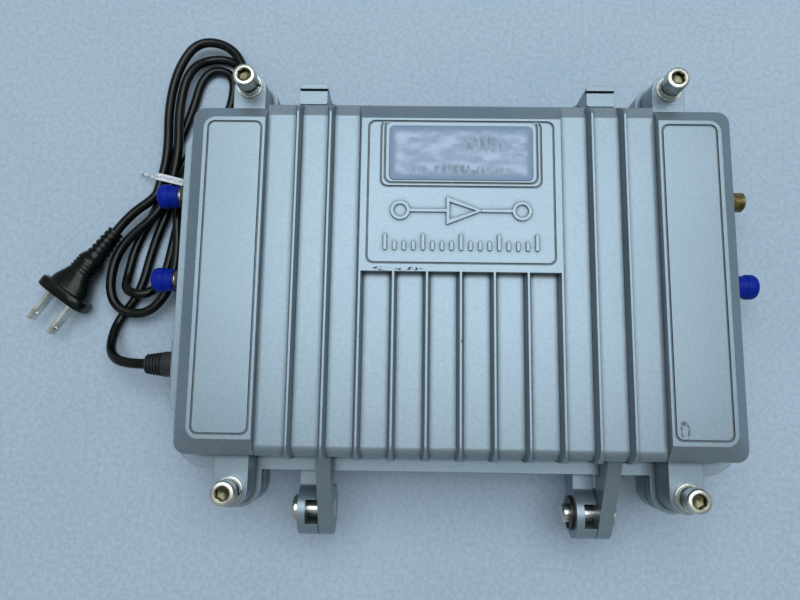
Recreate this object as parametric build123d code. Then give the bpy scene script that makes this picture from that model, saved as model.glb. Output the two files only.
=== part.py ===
from build123d import *
import math
import os

# Weatherproof line amplifier for aerial cable, lying on its back with the lid up.
# X runs along the length, Y towards the strand tabs and Z out through the lid.
# The origin is the centre of the housing on its flat back face. Millimetres.

# Housing, common to the base and the lid
lid_half_x = 116.5
lid_half_y = 75.0
flange_ledge_x = 7.5
flange_ledge_y = 6.3
rim_corner = 17.0
base_depth = 33.5
lid_gap = 0.3
overall_depth = 72.0
wall = 3.0

# Base casting
rim_overhang_x = 6.0
rim_overhang_y = 5.3
tub_corner = 12.0
tub_draft = 2.0
base_rim_thickness = 5.0
tub_wall = 4.5
base_floor = 4.0
back_panel_depth = 1.2
back_rib = 8.0
block_proud = 5.5
block_low_inset = 16.0
block_floor_z = 6.0
block_top_drop = 1.5
block_corner = 8.0
block_wall = 4.0

# Lid casting
flange_thickness = 6.2
lid_draft = 2.0
lid_corner = 5.0
bevel = 6.4
bevel_drop = 6.0
channel_half_x = 82.2
channel_depth = 4.5
channel_roll = 4.5
channel_draft = 0.4
channel_bevel = 5.2
channel_bevel_drop = 1.2
fin_pitch = 13.7
fin_side_count = 5
fin_crest = 0.9
fin_root = 3.3
fin_overhang = 0.8
fin_corner = 6.0
fin_tip_inset = 0.8
fin_foot_z = 52.0
name_block_half_x = 41.5
name_block_low_y = 1.2
name_block_bevel = 8.0
line_width = 0.8
line_depth = 0.6
end_panel_inner_margin = 1.1
end_panel_outer_margin = 1.6
end_panel_side_margin = 1.7
panel_corner = 3.0
name_panel_margin_x = 2.7
name_panel_low_margin = 3.1
name_panel_high_margin = 7.4
frame_half_x = 33.6
frame_low_y = 36.5
label_half_x = 29.7
label_low_margin = 3.2
label_high_margin = 2.5
label_thickness = 0.5
label_recess = 0.3
motif_width = 50.0
motif_height = 12.0
motif_y = 26.6
motif_line = 1.3
motif_relief = 0.7
scale_marks = 17
scale_width = 62.0
scale_height = 6.6
scale_y = 13.3

# Gasket
gasket_width = 4.0
gasket_inset = 5.0
gasket_depth = 2.5

# Corner lugs and cover bolts
lug_inset = 30.4
lug_proud = 6.7
lug_radius = 7.1
lug_ledge = 2.3
lid_lug_height = 21.5
base_lug_drop = 2.2
base_lug_depth = 10.0
bolt_radius = 3.0
bolt_length = 30.0
bolt_head_radius = 5.0
bolt_head_height = 6.0
bolt_socket = 5.0
bolt_socket_depth = 3.2
bolt_free_gap = 0.2
lid_bolt_hole = 3.3
thread_clearance = 0.05
washer_radius = 5.5
washer_thickness = 1.6
spring_washer_radius = 5.2
spring_washer_thickness = 2.6
washer_bore_gap = 0.3

# Strand tabs
lug_to_tab = 27.4
tab_width = 13.0
tab_root_width = 16.5
tab_low_drop = 10.5
tab_rise = 13.5
tab_proud = 12.7
tab_thickness_y = 10.0
tab_groove_inset = 3.0
tab_groove_width = 1.2
tab_groove_depth = 3.0

# Hinges
hinge_proud = 18.2
hinge_drop = 6.5
lug_to_hinge = 32.8
hinge_radius = 10.9
ear_width = 9.0
arm_width = 6.1
hinge_gap = 0.3
pin_radius = 4.0
pin_clearance = 0.05
ear_pocket_depth = 5.6
ear_pocket_half_y = 5.2
pin_head_radius = 6.0
pin_head_thickness = 3.0
pin_tail = 3.0
clip_radius = 7.5
clip_thickness = 1.2
clip_gap = 0.4
arm_root_z = 54.0

# Cable ports, their caps and the gland
port_drop = 11.5
port_upper_y = 46.7
port_lower_y = 5.0
port_radius = 4.76
port_proud = 11.2
port_relief_width = 0.8
port_relief_depth = 0.4
port_flange_radius = 6.2
port_flange_thickness = 2.5
port_bore_radius = 3.6
port_clearance = 0.1
port_nut_flats = 11.6
port_nut_thickness = 1.6
port_seal_radius = 5.5
port_seal_thickness = 1.4
insulator_length = 12.0
contact_radius = 0.5
contact_recess = 3.0
contact_board_inset = 2.0
cap_neck_radius = 5.3
cap_head_radius = 6.0
cap_head_length = 6.0
cap_gap = 1.6
cap_wall_end = 4.0
cap_clearance = 0.06
gland_y = -35.5
gland_boss = 1.2
gland_boss_half = 11.0
gland_radius = 6.0
gland_tip_radius = 4.6
gland_reach = 15.4
gland_thread_radius = 5.0
gland_nut_flats = 12.6
gland_nut_thickness = 3.0
gland_ribs = 4
gland_rib_width = 1.4
gland_rib_depth = 0.7

# Boards and what they carry
board_z = 12.0
board_thickness = 1.6
post_radius = 3.5
screw_radius = 1.5
screw_head_radius = 2.8
screw_head_height = 1.8
screw_reach = 6.6
screw_slot_width = 0.7
screw_slot_depth = 0.6
board_margin_x = 5.5
board_margin_y = 5.0
rf_board_low_y = -14.0
power_board_high_y = -20.0
board_edge = 5.0
control_to_module = 43.0
module_inset = 19.0
module_length = 44.0
module_width = 22.0
module_flange_thickness = 2.6
module_height = 11.0
module_pins = 9
module_pin_pitch = 2.54
can_inset_x = 13.0
can_inset_y = 6.0
can_high_x = -30.0
can_low_y = -8.0
can_height = 14.0
can_sheet = 0.8
pad_to_control = 24.0
control_ys = (20.0, 48.0)
control_size = 12.0
control_height = 8.0
knob_radius = 5.0
knob_height = 6.0
knob_shaft_radius = 3.0
knob_gap = 0.3
pad_inset = 16.0
pad_ys = (18.0, 34.0)
pad_length = 14.0
pad_width = 8.0
pad_height = 16.0
pad_clearance = 0.3
socket_wall = 1.5
socket_height = 6.0
terminal_to_transformer = 36.0
transformer_length = 42.0
transformer_width = 36.0
transformer_height = 30.0
coil_window = 9.0
core_yoke = 6.0
core_side_limb = 6.0
core_limb_half = 6.3
coil_bore_gap = 0.1
coil_side_gap = 0.3
coil_end_gap = 0.2
coil_corner = 3.0
capacitor_radius = 8.0
capacitor_height = 25.0
capacitor_offsets = ((40.0, 11.0), (40.0, -11.0), (62.0, -11.0))
regulator_offset = (78.0, 9.0)
sink_height = 22.0
sink_fins = 5
fuse_offset = (84.0, -13.0)
fuse_to_edge = 18.0
fuse_length = 20.0
fuse_radius = 2.5
terminal_inset = 10.0
terminal_length = 24.0
terminal_width = 10.0
terminal_height = 11.0
lead_radius = 1.1
coil_radius = 4.0
coil_spots = ((-10.0, 8.0), (6.0, 8.0), (22.0, 8.0), (38.0, 8.0))
coil_height = 9.0
lamp_x = 52.0
lamp_y = 0.0
lamp_radius = 2.5
lug_to_ground = 18.6

# Mains cord, plug and twist tie
cord_radius = 2.4
tail_corner = (-164.4, 41.2)
plug_entry = (-170.6, 32.4)
plug_axis_z = 8.6
relief_length = 17.0
relief_radius = 3.6
grip_length = 16.0
grip_width = 13.4
plug_face_length = 10.0
plug_face_width = 27.0
plug_thickness = 16.6
blade_spacing = 12.7
blade_thickness = 1.5
blade_width = 6.3
blade_length = 17.0
tie_thickness = 0.6
tie_width = 4.0

# Derived outlines
rim_half_x = lid_half_x + flange_ledge_x
rim_half_y = lid_half_y + flange_ledge_y
tub_half_x = rim_half_x - rim_overhang_x
tub_half_y = rim_half_y - rim_overhang_y
bay_half_x = tub_half_x - tub_wall
bay_half_y = tub_half_y - tub_wall - 0.5
block_reach = rim_half_x + block_proud
block_low_y = -tub_half_y + block_low_inset
block_high_y = tub_half_y
lug_x = rim_half_x - lug_inset
lug_y = rim_half_y + lug_proud
tab_x = lug_x - lug_to_tab
tab_reach_y = rim_half_y + tab_proud
hinge_x = lug_x - lug_to_hinge
hinge_y = -rim_half_y - hinge_proud
ground_x = lug_x - lug_to_ground
block_top_z = base_depth - block_top_drop
tab_low_z = base_depth - tab_low_drop
tab_high_z = base_depth + tab_rise
hinge_z = base_depth - hinge_drop
port_z = base_depth - port_drop

# Derived places on the ports
port_reach = block_reach + port_proud
port_seal_end = block_reach + port_seal_thickness
port_nut_end = port_seal_end + port_nut_thickness
cap_start = port_nut_end + cap_gap

# Derived places on the boards
rf_board_half_x = bay_half_x - board_margin_x
rf_board_high_y = bay_half_y - board_margin_y
power_board_low_x = -rf_board_half_x
power_board_low_y = -rf_board_high_y
power_y = (power_board_low_y + power_board_high_y) / 2
terminal_x = power_board_low_x + terminal_inset
transformer_x = terminal_x + terminal_to_transformer
regulator_x = transformer_x + regulator_offset[0]
regulator_y = power_y + regulator_offset[1]
fuse_x = transformer_x + fuse_offset[0]
fuse_y = power_y + fuse_offset[1]
power_board_high_x = fuse_x + fuse_to_edge
can_low_x = -rf_board_half_x + can_inset_x
can_high_y = rf_board_high_y - can_inset_y
pad_x = rf_board_half_x - pad_inset
control_x = pad_x - pad_to_control
module_x = control_x - control_to_module
module_y = rf_board_high_y - module_inset

# Derived heights and places
lid_low_z = base_depth + lid_gap
flange_top_z = lid_low_z + flange_thickness
channel_z = overall_depth - channel_depth
bevel_z = overall_depth - bevel_drop
channel_edge_y = lid_half_y - channel_draft
lid_top_half_x = lid_half_x - lid_draft
lid_top_half_y = lid_half_y - lid_draft
end_panel_low_x = channel_half_x + end_panel_inner_margin
end_panel_high_x = lid_top_half_x - bevel - end_panel_outer_margin
end_panel_half_y = lid_top_half_y - bevel - end_panel_side_margin
name_panel_half_x = name_block_half_x - name_panel_margin_x
name_panel_low_y = name_block_low_y + name_panel_low_margin
name_panel_high_y = lid_top_half_y - name_panel_high_margin
label_low_y = frame_low_y + label_low_margin
label_high_y = name_panel_high_y - label_high_margin
lid_lug_top_z = lid_low_z + lid_lug_height
base_lug_top_z = base_depth - base_lug_drop
board_top_z = board_z + board_thickness
hinge_width = ear_width + hinge_gap + arm_width
hinge_starts = (-hinge_x - hinge_width / 2, hinge_x - hinge_width / 2)


def slab(half_x, half_y, corner, low_z, high_z):
    outline = Plane.XY.offset(low_z) * RectangleRounded(2 * half_x, 2 * half_y, corner)
    return extrude(outline, high_z - low_z)


def tapered_slab(low_half, low_z, high_half, high_z, corner):
    low = Plane.XY.offset(low_z) * RectangleRounded(2 * low_half[0], 2 * low_half[1], corner)
    high = Plane.XY.offset(high_z) * RectangleRounded(2 * high_half[0], 2 * high_half[1], corner)
    return loft([low, high], ruled=True)


def block(low, high):
    size = [high[i] - low[i] for i in range(3)]
    middle = [(high[i] + low[i]) / 2 for i in range(3)]
    return Pos(*middle) * Box(*size)


def upright(x, y, radius, low_z, high_z):
    return Pos(x, y, (low_z + high_z) / 2) * Cylinder(radius, high_z - low_z)


def along_x(y, z, radius, x_from, x_to):
    middle = Pos((x_from + x_to) / 2, y, z)
    return middle * Rot(0, 90, 0) * Cylinder(radius, abs(x_to - x_from))


def side_profile(outline, x_from, x_to):
    """Extrude an outline drawn in Y and Z along X."""
    return extrude(Plane.YZ.offset(x_from) * outline, x_to - x_from)


def frame_line(low_x, high_x, low_y, high_y):
    """The outline of a groove that runs round a rectangle."""
    width = high_x - low_x
    height = high_y - low_y
    outer = RectangleRounded(width, height, panel_corner)
    inner = RectangleRounded(width - 2 * line_width, height - 2 * line_width, panel_corner - line_width / 2)
    return Pos((low_x + high_x) / 2, (low_y + high_y) / 2) * (outer - inner)


def write(node, shape):
    export_step(shape, f"parts/{node}.step")


def together(solids):
    return Compound(children=list(solids))


corners = [(sx, sy) for sx in (-1, 1) for sy in (-1, 1)]
ports = {
    "left_upper": (-1, port_upper_y, True),
    "left_lower": (-1, port_lower_y, True),
    "right_upper": (1, port_upper_y, False),
    "right_lower": (1, port_lower_y, True),
}
post_spots = [
    (sx * (rf_board_half_x - board_edge), y)
    for sx in (-1, 1)
    for y in (rf_board_low_y + board_edge, rf_board_high_y - board_edge)
] + [
    (x, y)
    for x in (power_board_low_x + board_edge, power_board_high_x - board_edge)
    for y in (power_board_low_y + board_edge, power_board_high_y - board_edge)
]


def lug(sx, sy, low_z, high_z, radius, root_y):
    """A corner lug with a round end, joined back to the casting."""
    end = upright(sx * lug_x, sy * lug_y, radius, low_z, high_z)
    near, far = sorted((sy * root_y, sy * lug_y))
    web = block((sx * lug_x - radius, near, low_z), (sx * lug_x + radius, far, high_z))
    return end + web


def hinge_ear(low_x):
    """The base's half of a hinge: a web from the wall and a barrel with an open pocket."""
    root_y = -tub_half_y + 1
    top_z = base_depth - 2.5
    with BuildSketch() as web:
        with BuildLine():
            a = Line((root_y, top_z), (hinge_y + hinge_radius, top_z))
            b = Line(a @ 1, (hinge_y, hinge_z))
            c = Line(b @ 1, (hinge_y + 4, hinge_z - hinge_radius + 0.8))
            d = ThreePointArc(c @ 1, (hinge_y + 15, hinge_z - 11.5), (root_y, hinge_z - 15))
            Line(d @ 1, a @ 0)
        make_face()
    ear = side_profile(web.sketch, low_x, low_x + ear_width)
    ear += along_x(hinge_y, hinge_z, hinge_radius, low_x, low_x + ear_width)
    pocket_x = low_x + ear_width - ear_pocket_depth
    pocket = block(
        (pocket_x, hinge_y - ear_pocket_half_y, hinge_z),
        (low_x + ear_width + 1, hinge_y + ear_pocket_half_y, hinge_z + hinge_radius + 1),
    )
    pocket += along_x(hinge_y, hinge_z, ear_pocket_half_y, pocket_x, low_x + ear_width + 1)
    bore = along_x(hinge_y, hinge_z, pin_radius + pin_clearance, low_x - 1, low_x + ear_width + 1)
    return ear - pocket - bore


def hinge_arm(low_x):
    """The lid's half of a hinge: a flat arm that drops from the wall to the pin."""
    root_y = -lid_half_y + 1.5
    tangent = math.radians(38)
    back_y = hinge_y - hinge_radius * math.sin(tangent)
    back_z = hinge_z + hinge_radius * math.cos(tangent)
    with BuildSketch() as plate:
        with BuildLine():
            a = Line((root_y, flange_top_z), (root_y, arm_root_z))
            b = Line(a @ 1, (root_y - 6, arm_root_z - 3))
            c = Line(b @ 1, (back_y, back_z))
            d = Line(c @ 1, (hinge_y, hinge_z))
            e = Line(d @ 1, (hinge_y + hinge_radius * 0.85, hinge_z + hinge_radius * 0.5))
            f = Line(e @ 1, (hinge_y + hinge_radius + 4.6, lid_low_z))
            g = Line(f @ 1, (root_y, lid_low_z))
            Line(g @ 1, a @ 0)
        make_face()
    arm = side_profile(plate.sketch, low_x, low_x + arm_width)
    arm += along_x(hinge_y, hinge_z, hinge_radius, low_x, low_x + arm_width)
    return arm - along_x(hinge_y, hinge_z, pin_radius + pin_clearance, low_x - 1, low_x + arm_width + 1)


def port_block(side):
    """The raised end of the base that holds the cable ports on one side."""
    inner_x = bay_half_x - 6
    middle_x = (inner_x + block_reach) / 2
    outline = Pos(side * middle_x, (block_low_y + block_high_y) / 2) * RectangleRounded(
        block_reach - inner_x, block_high_y - block_low_y, block_corner
    )
    solid = extrude(Plane.XY.offset(block_floor_z) * outline, block_top_z - block_floor_z)
    if side < 0:
        face = block(
            (-block_reach - gland_boss, gland_y - gland_boss_half, block_floor_z + 3),
            (-block_reach + 1, gland_y + gland_boss_half, block_top_z - 2),
        )
        solid += face
    return solid


def port_block_core(side):
    """The hollow inside a port block, open to the tub."""
    near, far = sorted((side * (bay_half_x - 12), side * (block_reach - block_wall)))
    return block(
        (near, block_low_y + block_wall, block_floor_z + block_wall),
        (far, block_high_y - block_wall, base_depth - base_rim_thickness),
    )


def base_housing():
    shell = tapered_slab(
        (tub_half_x - tub_draft, tub_half_y - tub_draft), 0,
        (tub_half_x, tub_half_y), base_depth - base_rim_thickness, tub_corner,
    )
    shell += slab(rim_half_x, rim_half_y, rim_corner, base_depth - base_rim_thickness, base_depth)
    shell += port_block(-1)
    shell += port_block(1)
    for sx, sy in corners:
        shell += lug(sx, sy, base_lug_top_z - base_lug_depth, base_lug_top_z,
                     lug_radius + lug_ledge, tub_half_y - 3)
    shell -= slab(bay_half_x, bay_half_y, tub_corner - 2, base_floor, base_depth + 1)
    shell -= port_block_core(-1)
    shell -= port_block_core(1)
    for low_x in hinge_starts:
        shell += hinge_ear(low_x)
    shell += strand_tabs()
    groove_x = rim_half_x - gasket_inset
    groove_y = rim_half_y - gasket_inset
    half = gasket_width / 2 + 0.1
    groove = slab(groove_x + half, groove_y + half, rim_corner - gasket_inset + half,
                  base_depth - gasket_depth, base_depth + 1)
    groove -= slab(groove_x - half, groove_y - half, rim_corner - gasket_inset - half,
                   base_depth - gasket_depth, base_depth + 1)
    shell -= groove
    for sx in (-1, 1):
        for sy in (-1, 1):
            panel_x = (tub_half_x - tub_draft - 1.5 * back_rib) / 2
            panel_y = (tub_half_y - tub_draft - 1.5 * back_rib) / 2
            shell -= Pos(sx * (panel_x + back_rib / 2), sy * (panel_y + back_rib / 2), 0) * slab(
                panel_x, panel_y, tub_corner / 2, -1, back_panel_depth
            )
    for x, y in post_spots:
        shell += upright(x, y, post_radius, base_floor - 0.5, board_z)
        shell -= upright(x, y, screw_radius + thread_clearance, base_floor + 2, board_z + 1)
    block_low = (module_x - module_length / 2 - 1, module_y - module_width / 2 - 1, base_floor - 0.5)
    block_high = (module_x + module_length / 2 + 1, module_y + module_width / 2 + 1, board_z)
    shell += block(block_low, block_high)
    for sx, sy in corners:
        shell -= upright(sx * lug_x, sy * lug_y, bolt_radius + thread_clearance,
                         base_lug_top_z - base_lug_depth - 1, base_lug_top_z + 1)
    for side, y, _ in ports.values():
        shell -= along_x(y, port_z, port_radius + port_clearance,
                         side * (block_reach - block_wall - 1), side * (block_reach + 1))
    shell -= along_x(gland_y, port_z, gland_thread_radius + port_clearance,
                     -block_reach - gland_boss - 1, -block_reach + block_wall + 1)
    shell -= Pos(ground_x, -tub_half_y + tub_draft, hinge_z - 9) * Rot(90, 0, 0) * Cylinder(
        screw_radius + 0.5 + thread_clearance, 2 * tub_wall)
    return shell


def strand_tabs():
    """Two hooks beside the strand clamp, grooved across the top near the tip."""
    tabs = []
    groove_y = tab_reach_y - tab_groove_inset
    for side in (-1, 1):
        low_y = tab_reach_y - tab_thickness_y
        bar = block(
            (side * tab_x - tab_width / 2, low_y, tab_low_z),
            (side * tab_x + tab_width / 2, tab_reach_y, tab_high_z),
        )
        foot = block(
            (side * tab_x - tab_root_width / 2, tub_half_y - 2, tab_low_z),
            (side * tab_x + tab_root_width / 2, tab_reach_y - 2, base_depth - 3),
        )
        groove = block(
            (side * tab_x - tab_width, groove_y - tab_groove_width / 2, tab_high_z - tab_groove_depth),
            (side * tab_x + tab_width, groove_y + tab_groove_width / 2, tab_high_z + 1),
        )
        tabs.append(fillet(bar.edges().filter_by(Axis.Z), 1.2) + foot - groove)
    return tabs[0] + tabs[1]


def channel_profile():
    """The lid between its end blocks, seen from the end: rolled low edge, bevelled high edge."""
    foot = lid_half_y
    head = lid_top_half_y + 0.5
    roll = channel_roll
    middle = (-head + roll * 0.293, channel_z - roll * 0.293)
    with BuildSketch() as profile:
        with BuildLine():
            a = Line((-foot, flange_top_z - 1), (-head, channel_z - roll))
            b = ThreePointArc(a @ 1, middle, (-head + roll, channel_z))
            c = Line(b @ 1, (channel_edge_y - channel_bevel, channel_z))
            d = Line(c @ 1, (channel_edge_y, channel_z - channel_bevel_drop))
            e = Line(d @ 1, (foot, flange_top_z - 1))
            Line(e @ 1, a @ 0)
        make_face()
    return profile.sketch


def name_block():
    """The raised block for the label, bevelled down to the lid's high edge."""
    with BuildSketch() as profile:
        with BuildLine():
            Polyline(
                (name_block_low_y, channel_z - 1), (name_block_low_y, overall_depth),
                (channel_edge_y - name_block_bevel, overall_depth), (channel_edge_y, bevel_z),
                (channel_edge_y, bevel_z - 4), (channel_edge_y - name_block_bevel, bevel_z - 2),
                close=True,
            )
        make_face()
    return side_profile(profile.sketch, -name_block_half_x, name_block_half_x)


def fin(x, low_y, beside_block):
    """One cooling fin, thin at its crest: it runs down the low wall and ends on the high edge's bevel."""
    reach = lid_top_half_y + 0.5 + fin_overhang
    root_z = channel_z - 0.5
    tip_y = channel_edge_y - fin_tip_inset
    tip_z = channel_z - channel_bevel_drop - 0.5
    round_start = channel_edge_y - channel_bevel
    bevel_rise = (overall_depth - bevel_z) / name_block_bevel
    with BuildSketch() as section:
        with BuildLine():
            Polyline(
                (-fin_root / 2, fin_foot_z), (fin_root / 2, fin_foot_z), (fin_root / 2, root_z),
                (fin_crest / 2, overall_depth), (-fin_crest / 2, overall_depth), (-fin_root / 2, root_z),
                close=True,
            )
        make_face()
    bar = extrude(Plane.XZ.offset(-reach - 1) * section.sketch, 2 * reach + 2)
    with BuildSketch() as side:
        with BuildLine():
            high = reach
            a = Line((-high + 3, fin_foot_z), (-high, fin_foot_z + 6))
            b = Line(a @ 1, (-high, overall_depth - fin_corner))
            c = ThreePointArc(b @ 1, (-high + fin_corner * 0.293, overall_depth - fin_corner * 0.293),
                              (-high + fin_corner, overall_depth))
            if beside_block:
                d = Line(c @ 1, (channel_edge_y - name_block_bevel, overall_depth))
                e = Line(d @ 1, (tip_y, bevel_z + fin_tip_inset * bevel_rise))
            else:
                d = Line(c @ 1, (round_start, overall_depth))
                e = ThreePointArc(d @ 1, (round_start + (tip_y - round_start) * 0.72,
                                          overall_depth - (overall_depth - tip_z) * 0.3), (tip_y, tip_z))
            f = Line(e @ 1, (tip_y, fin_foot_z))
            Line(f @ 1, a @ 0)
        make_face()
    shape = bar & side_profile(side.sketch, -fin_root, fin_root)
    if low_y is not None:
        shape &= block((-fin_root, -reach - 2, 0), (fin_root, low_y, overall_depth + 1))
    return Pos(x, 0, 0) * shape


def motif():
    """Plain raised ornament: the outline of an amplifier symbol over a row of scale marks."""
    top = overall_depth
    half = motif_height / 2
    tip = half * 1.5
    triangle = Polygon((-half, -half), (tip, 0), (-half, half), align=None)
    inner = Polygon(
        (-half + motif_line, -half + 1.8 * motif_line), (tip - 2.1 * motif_line, 0),
        (-half + motif_line, half - 1.8 * motif_line), align=None,
    )
    solids = extrude(Pos(0, motif_y, top - 0.2) * (triangle - inner), motif_relief + 0.2)
    for side in (-1, 1):
        start = -half if side < 0 else tip - 0.5
        end = motif_width / 2 - half / 1.5 + motif_line / 2
        low_x, high_x = sorted((start, side * end))
        solids += block((low_x, motif_y - motif_line / 2, top - 0.2),
                        (high_x, motif_y + motif_line / 2, top + motif_relief))
        ring = Circle(half / 1.5) - Circle(half / 1.5 - motif_line)
        solids += extrude(Pos(side * motif_width / 2, motif_y, top - 0.2) * ring, motif_relief + 0.2)
    for i in range(scale_marks):
        x = (i / (scale_marks - 1) - 0.5) * scale_width
        height = scale_height if i % 4 == 0 else scale_height * 0.55
        low_y = scale_y - scale_height / 2
        solids += block((x - motif_line / 2, low_y, top - 0.2),
                        (x + motif_line / 2, low_y + height, top + motif_relief))
    return solids


def lid_cover():
    lid = tapered_slab(
        (lid_half_x, lid_half_y), flange_top_z - 1,
        (lid_top_half_x, lid_top_half_y), bevel_z, lid_corner,
    )
    lid += tapered_slab(
        (lid_top_half_x, lid_top_half_y), bevel_z,
        (lid_top_half_x - bevel, lid_top_half_y - bevel), overall_depth, lid_corner,
    )
    lid -= block((-channel_half_x, -lid_half_y - 1, flange_top_z - 0.5),
                 (channel_half_x, lid_half_y + 1, overall_depth + 1))
    lid += side_profile(channel_profile(), -channel_half_x, channel_half_x)
    lid += name_block()
    for i in range(-fin_side_count, fin_side_count + 1):
        x = i * fin_pitch
        low_y = name_block_low_y + 1 if abs(x) < name_block_half_x - fin_root else None
        lid += fin(x, low_y, abs(abs(x) - name_block_half_x) < fin_root)
    lid += slab(rim_half_x, rim_half_y, rim_corner, lid_low_z, flange_top_z)
    for sx, sy in corners:
        lid += lug(sx, sy, lid_low_z, flange_top_z, lug_radius + lug_ledge, lid_half_y - 2.5)
        lid += lug(sx, sy, lid_low_z, lid_lug_top_z, lug_radius, lid_half_y - 2.5)
    lid -= tapered_slab(
        (lid_half_x - wall, lid_half_y - wall), lid_low_z - 0.01,
        (lid_top_half_x - wall, lid_top_half_y - wall), channel_z - wall - 0.5, lid_corner,
    )
    for low_x in hinge_starts:
        lid += hinge_arm(low_x + ear_width + hinge_gap)
    for sx, sy in corners:
        lid -= upright(sx * lug_x, sy * lug_y, lid_bolt_hole, lid_low_z - 1, lid_lug_top_z + 1)
    lines = frame_line(-name_panel_half_x, name_panel_half_x, name_panel_low_y, name_panel_high_y)
    for side in (-1, 1):
        low_x, high_x = sorted((side * end_panel_low_x, side * end_panel_high_x))
        lines += frame_line(low_x, high_x, -end_panel_half_y, end_panel_half_y)
    for inset in (0.0, 2 * line_width):
        lines += frame_line(-frame_half_x + inset, frame_half_x - inset,
                            frame_low_y + inset, name_panel_high_y)
    lid -= extrude(Pos(0, 0, overall_depth - line_depth) * lines, line_depth + 1)
    label_y = (label_low_y + label_high_y) / 2
    seat = RectangleRounded(2 * label_half_x + 0.2, label_high_y - label_low_y + 0.2, 2.1)
    lid -= extrude(Pos(0, label_y, overall_depth - label_recess) * seat, label_recess + 1)
    return lid + motif()


def name_label():
    label_y = (label_low_y + label_high_y) / 2
    plate = RectangleRounded(2 * label_half_x, label_high_y - label_low_y, 2.0)
    return extrude(Pos(0, label_y, overall_depth - label_recess) * plate, label_thickness)


def lid_gasket():
    groove_x = rim_half_x - gasket_inset
    groove_y = rim_half_y - gasket_inset
    half = gasket_width / 2
    corner = rim_corner - gasket_inset
    low_z = base_depth - gasket_depth
    ring = slab(groove_x + half, groove_y + half, corner + half, low_z, lid_low_z - 0.02)
    return ring - slab(groove_x - half, groove_y - half, corner - half, low_z - 1, lid_low_z + 1)


def cover_bolt(x, y):
    tip_z = base_lug_top_z + bolt_free_gap
    head_z = tip_z + bolt_length
    shank = upright(x, y, bolt_radius, tip_z, head_z)
    head = upright(x, y, bolt_head_radius, head_z, head_z + bolt_head_height)
    head = chamfer(head.edges().sort_by(Axis.Z)[-1], 0.5)
    socket = Pos(x, y, head_z + bolt_head_height - bolt_socket_depth) * extrude(
        RegularPolygon(bolt_socket / 2, 6, major_radius=False), bolt_socket_depth + 1)
    return shank + head - socket


def flat_washer(x, y):
    ring = upright(x, y, washer_radius, lid_lug_top_z, lid_lug_top_z + washer_thickness)
    return ring - upright(x, y, bolt_radius + washer_bore_gap, lid_lug_top_z - 1, lid_lug_top_z + 9)


def spring_washer(x, y):
    low_z = lid_lug_top_z + washer_thickness
    ring = upright(x, y, spring_washer_radius, low_z, low_z + spring_washer_thickness)
    ring -= upright(x, y, bolt_radius + washer_bore_gap, low_z - 1, low_z + 9)
    slit = Pos(x + spring_washer_radius, y, low_z) * Rot(25, 0, 0) * Box(2 * spring_washer_radius - 4, 0.8, 9)
    return ring - slit


def hinge_pin_left():
    low_x = hinge_starts[0]
    arm_end = low_x + ear_width + hinge_gap + arm_width
    pin = along_x(hinge_y, hinge_z, pin_radius, low_x - 1, arm_end)
    head = along_x(hinge_y, hinge_z, pin_head_radius, low_x - pin_head_thickness, low_x)
    return pin + chamfer(head.edges().sort_by(Axis.X)[0], 0.8)


def hinge_pin_right():
    """The right pin passes out of the ear and keeps its spring clip there."""
    low_x = hinge_starts[1]
    arm_end = low_x + ear_width + hinge_gap + arm_width
    tail_x = low_x - clip_gap - clip_thickness - pin_tail
    pin = along_x(hinge_y, hinge_z, pin_radius, tail_x, arm_end + hinge_gap + 1)
    pin = chamfer(pin.edges().sort_by(Axis.X)[0], 0.8)
    head_x = arm_end + hinge_gap
    head = along_x(hinge_y, hinge_z, pin_head_radius, head_x, head_x + pin_head_thickness)
    return pin + chamfer(head.edges().sort_by(Axis.X)[-1], 0.8)


def hinge_clip():
    low_x = hinge_starts[1] - clip_gap - clip_thickness
    ring = along_x(hinge_y, hinge_z, clip_radius, low_x, low_x + clip_thickness)
    ring -= along_x(hinge_y, hinge_z, pin_radius + pin_clearance, low_x - 1, low_x + clip_thickness + 1)
    mouth = block((low_x - 1, hinge_y - clip_radius - 1, hinge_z - 2.0),
                  (low_x + clip_thickness + 1, hinge_y, hinge_z + 2.0))
    return ring - mouth


def cable_port(side, y):
    """A threaded barrel, relieved at its root, with a flange inside the wall."""
    inner_x = block_reach - block_wall
    body = along_x(y, port_z, port_radius, side * inner_x, side * port_reach)
    body += along_x(y, port_z, port_flange_radius, side * (inner_x - port_flange_thickness), side * inner_x)
    relief_end = port_nut_end + port_relief_width
    relief = along_x(y, port_z, port_radius + 1, side * port_nut_end, side * relief_end)
    relief -= along_x(y, port_z, port_radius - port_relief_depth, side * port_nut_end, side * relief_end)
    return body - relief - along_x(y, port_z, port_bore_radius, side * (inner_x - 9), side * (port_reach + 1))


def port_nut(side, y):
    hexagon = Plane.YZ * Pos(y, port_z) * RegularPolygon(port_nut_flats / 2, 6, major_radius=False)
    start = port_seal_end if side > 0 else -port_nut_end
    nut = Pos(start, 0, 0) * extrude(hexagon, port_nut_thickness)
    return nut - along_x(y, port_z, port_radius + port_clearance, start - 1, start + port_nut_thickness + 1)


def port_seal(side, y):
    near = side * block_reach
    far = side * port_seal_end
    ring = along_x(y, port_z, port_seal_radius, near, far)
    return ring - along_x(y, port_z, port_radius + port_clearance, near - side, far + side)


def port_insulator(side, y):
    far = side * (port_reach - 1.0)
    near = side * (port_reach - 1.0 - insulator_length)
    plug = along_x(y, port_z, port_bore_radius - port_clearance / 2, near, far)
    return plug - along_x(y, port_z, contact_radius + port_clearance, near - side, far + side)


def port_contact(side, y):
    """The centre wire, from the port's mouth back to the board."""
    board_x = side * (rf_board_half_x - contact_board_inset)
    wire = along_x(y, port_z, contact_radius, board_x, side * (port_reach - contact_recess))
    return wire + upright(board_x, y, contact_radius, board_top_z, port_z + contact_radius)


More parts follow.
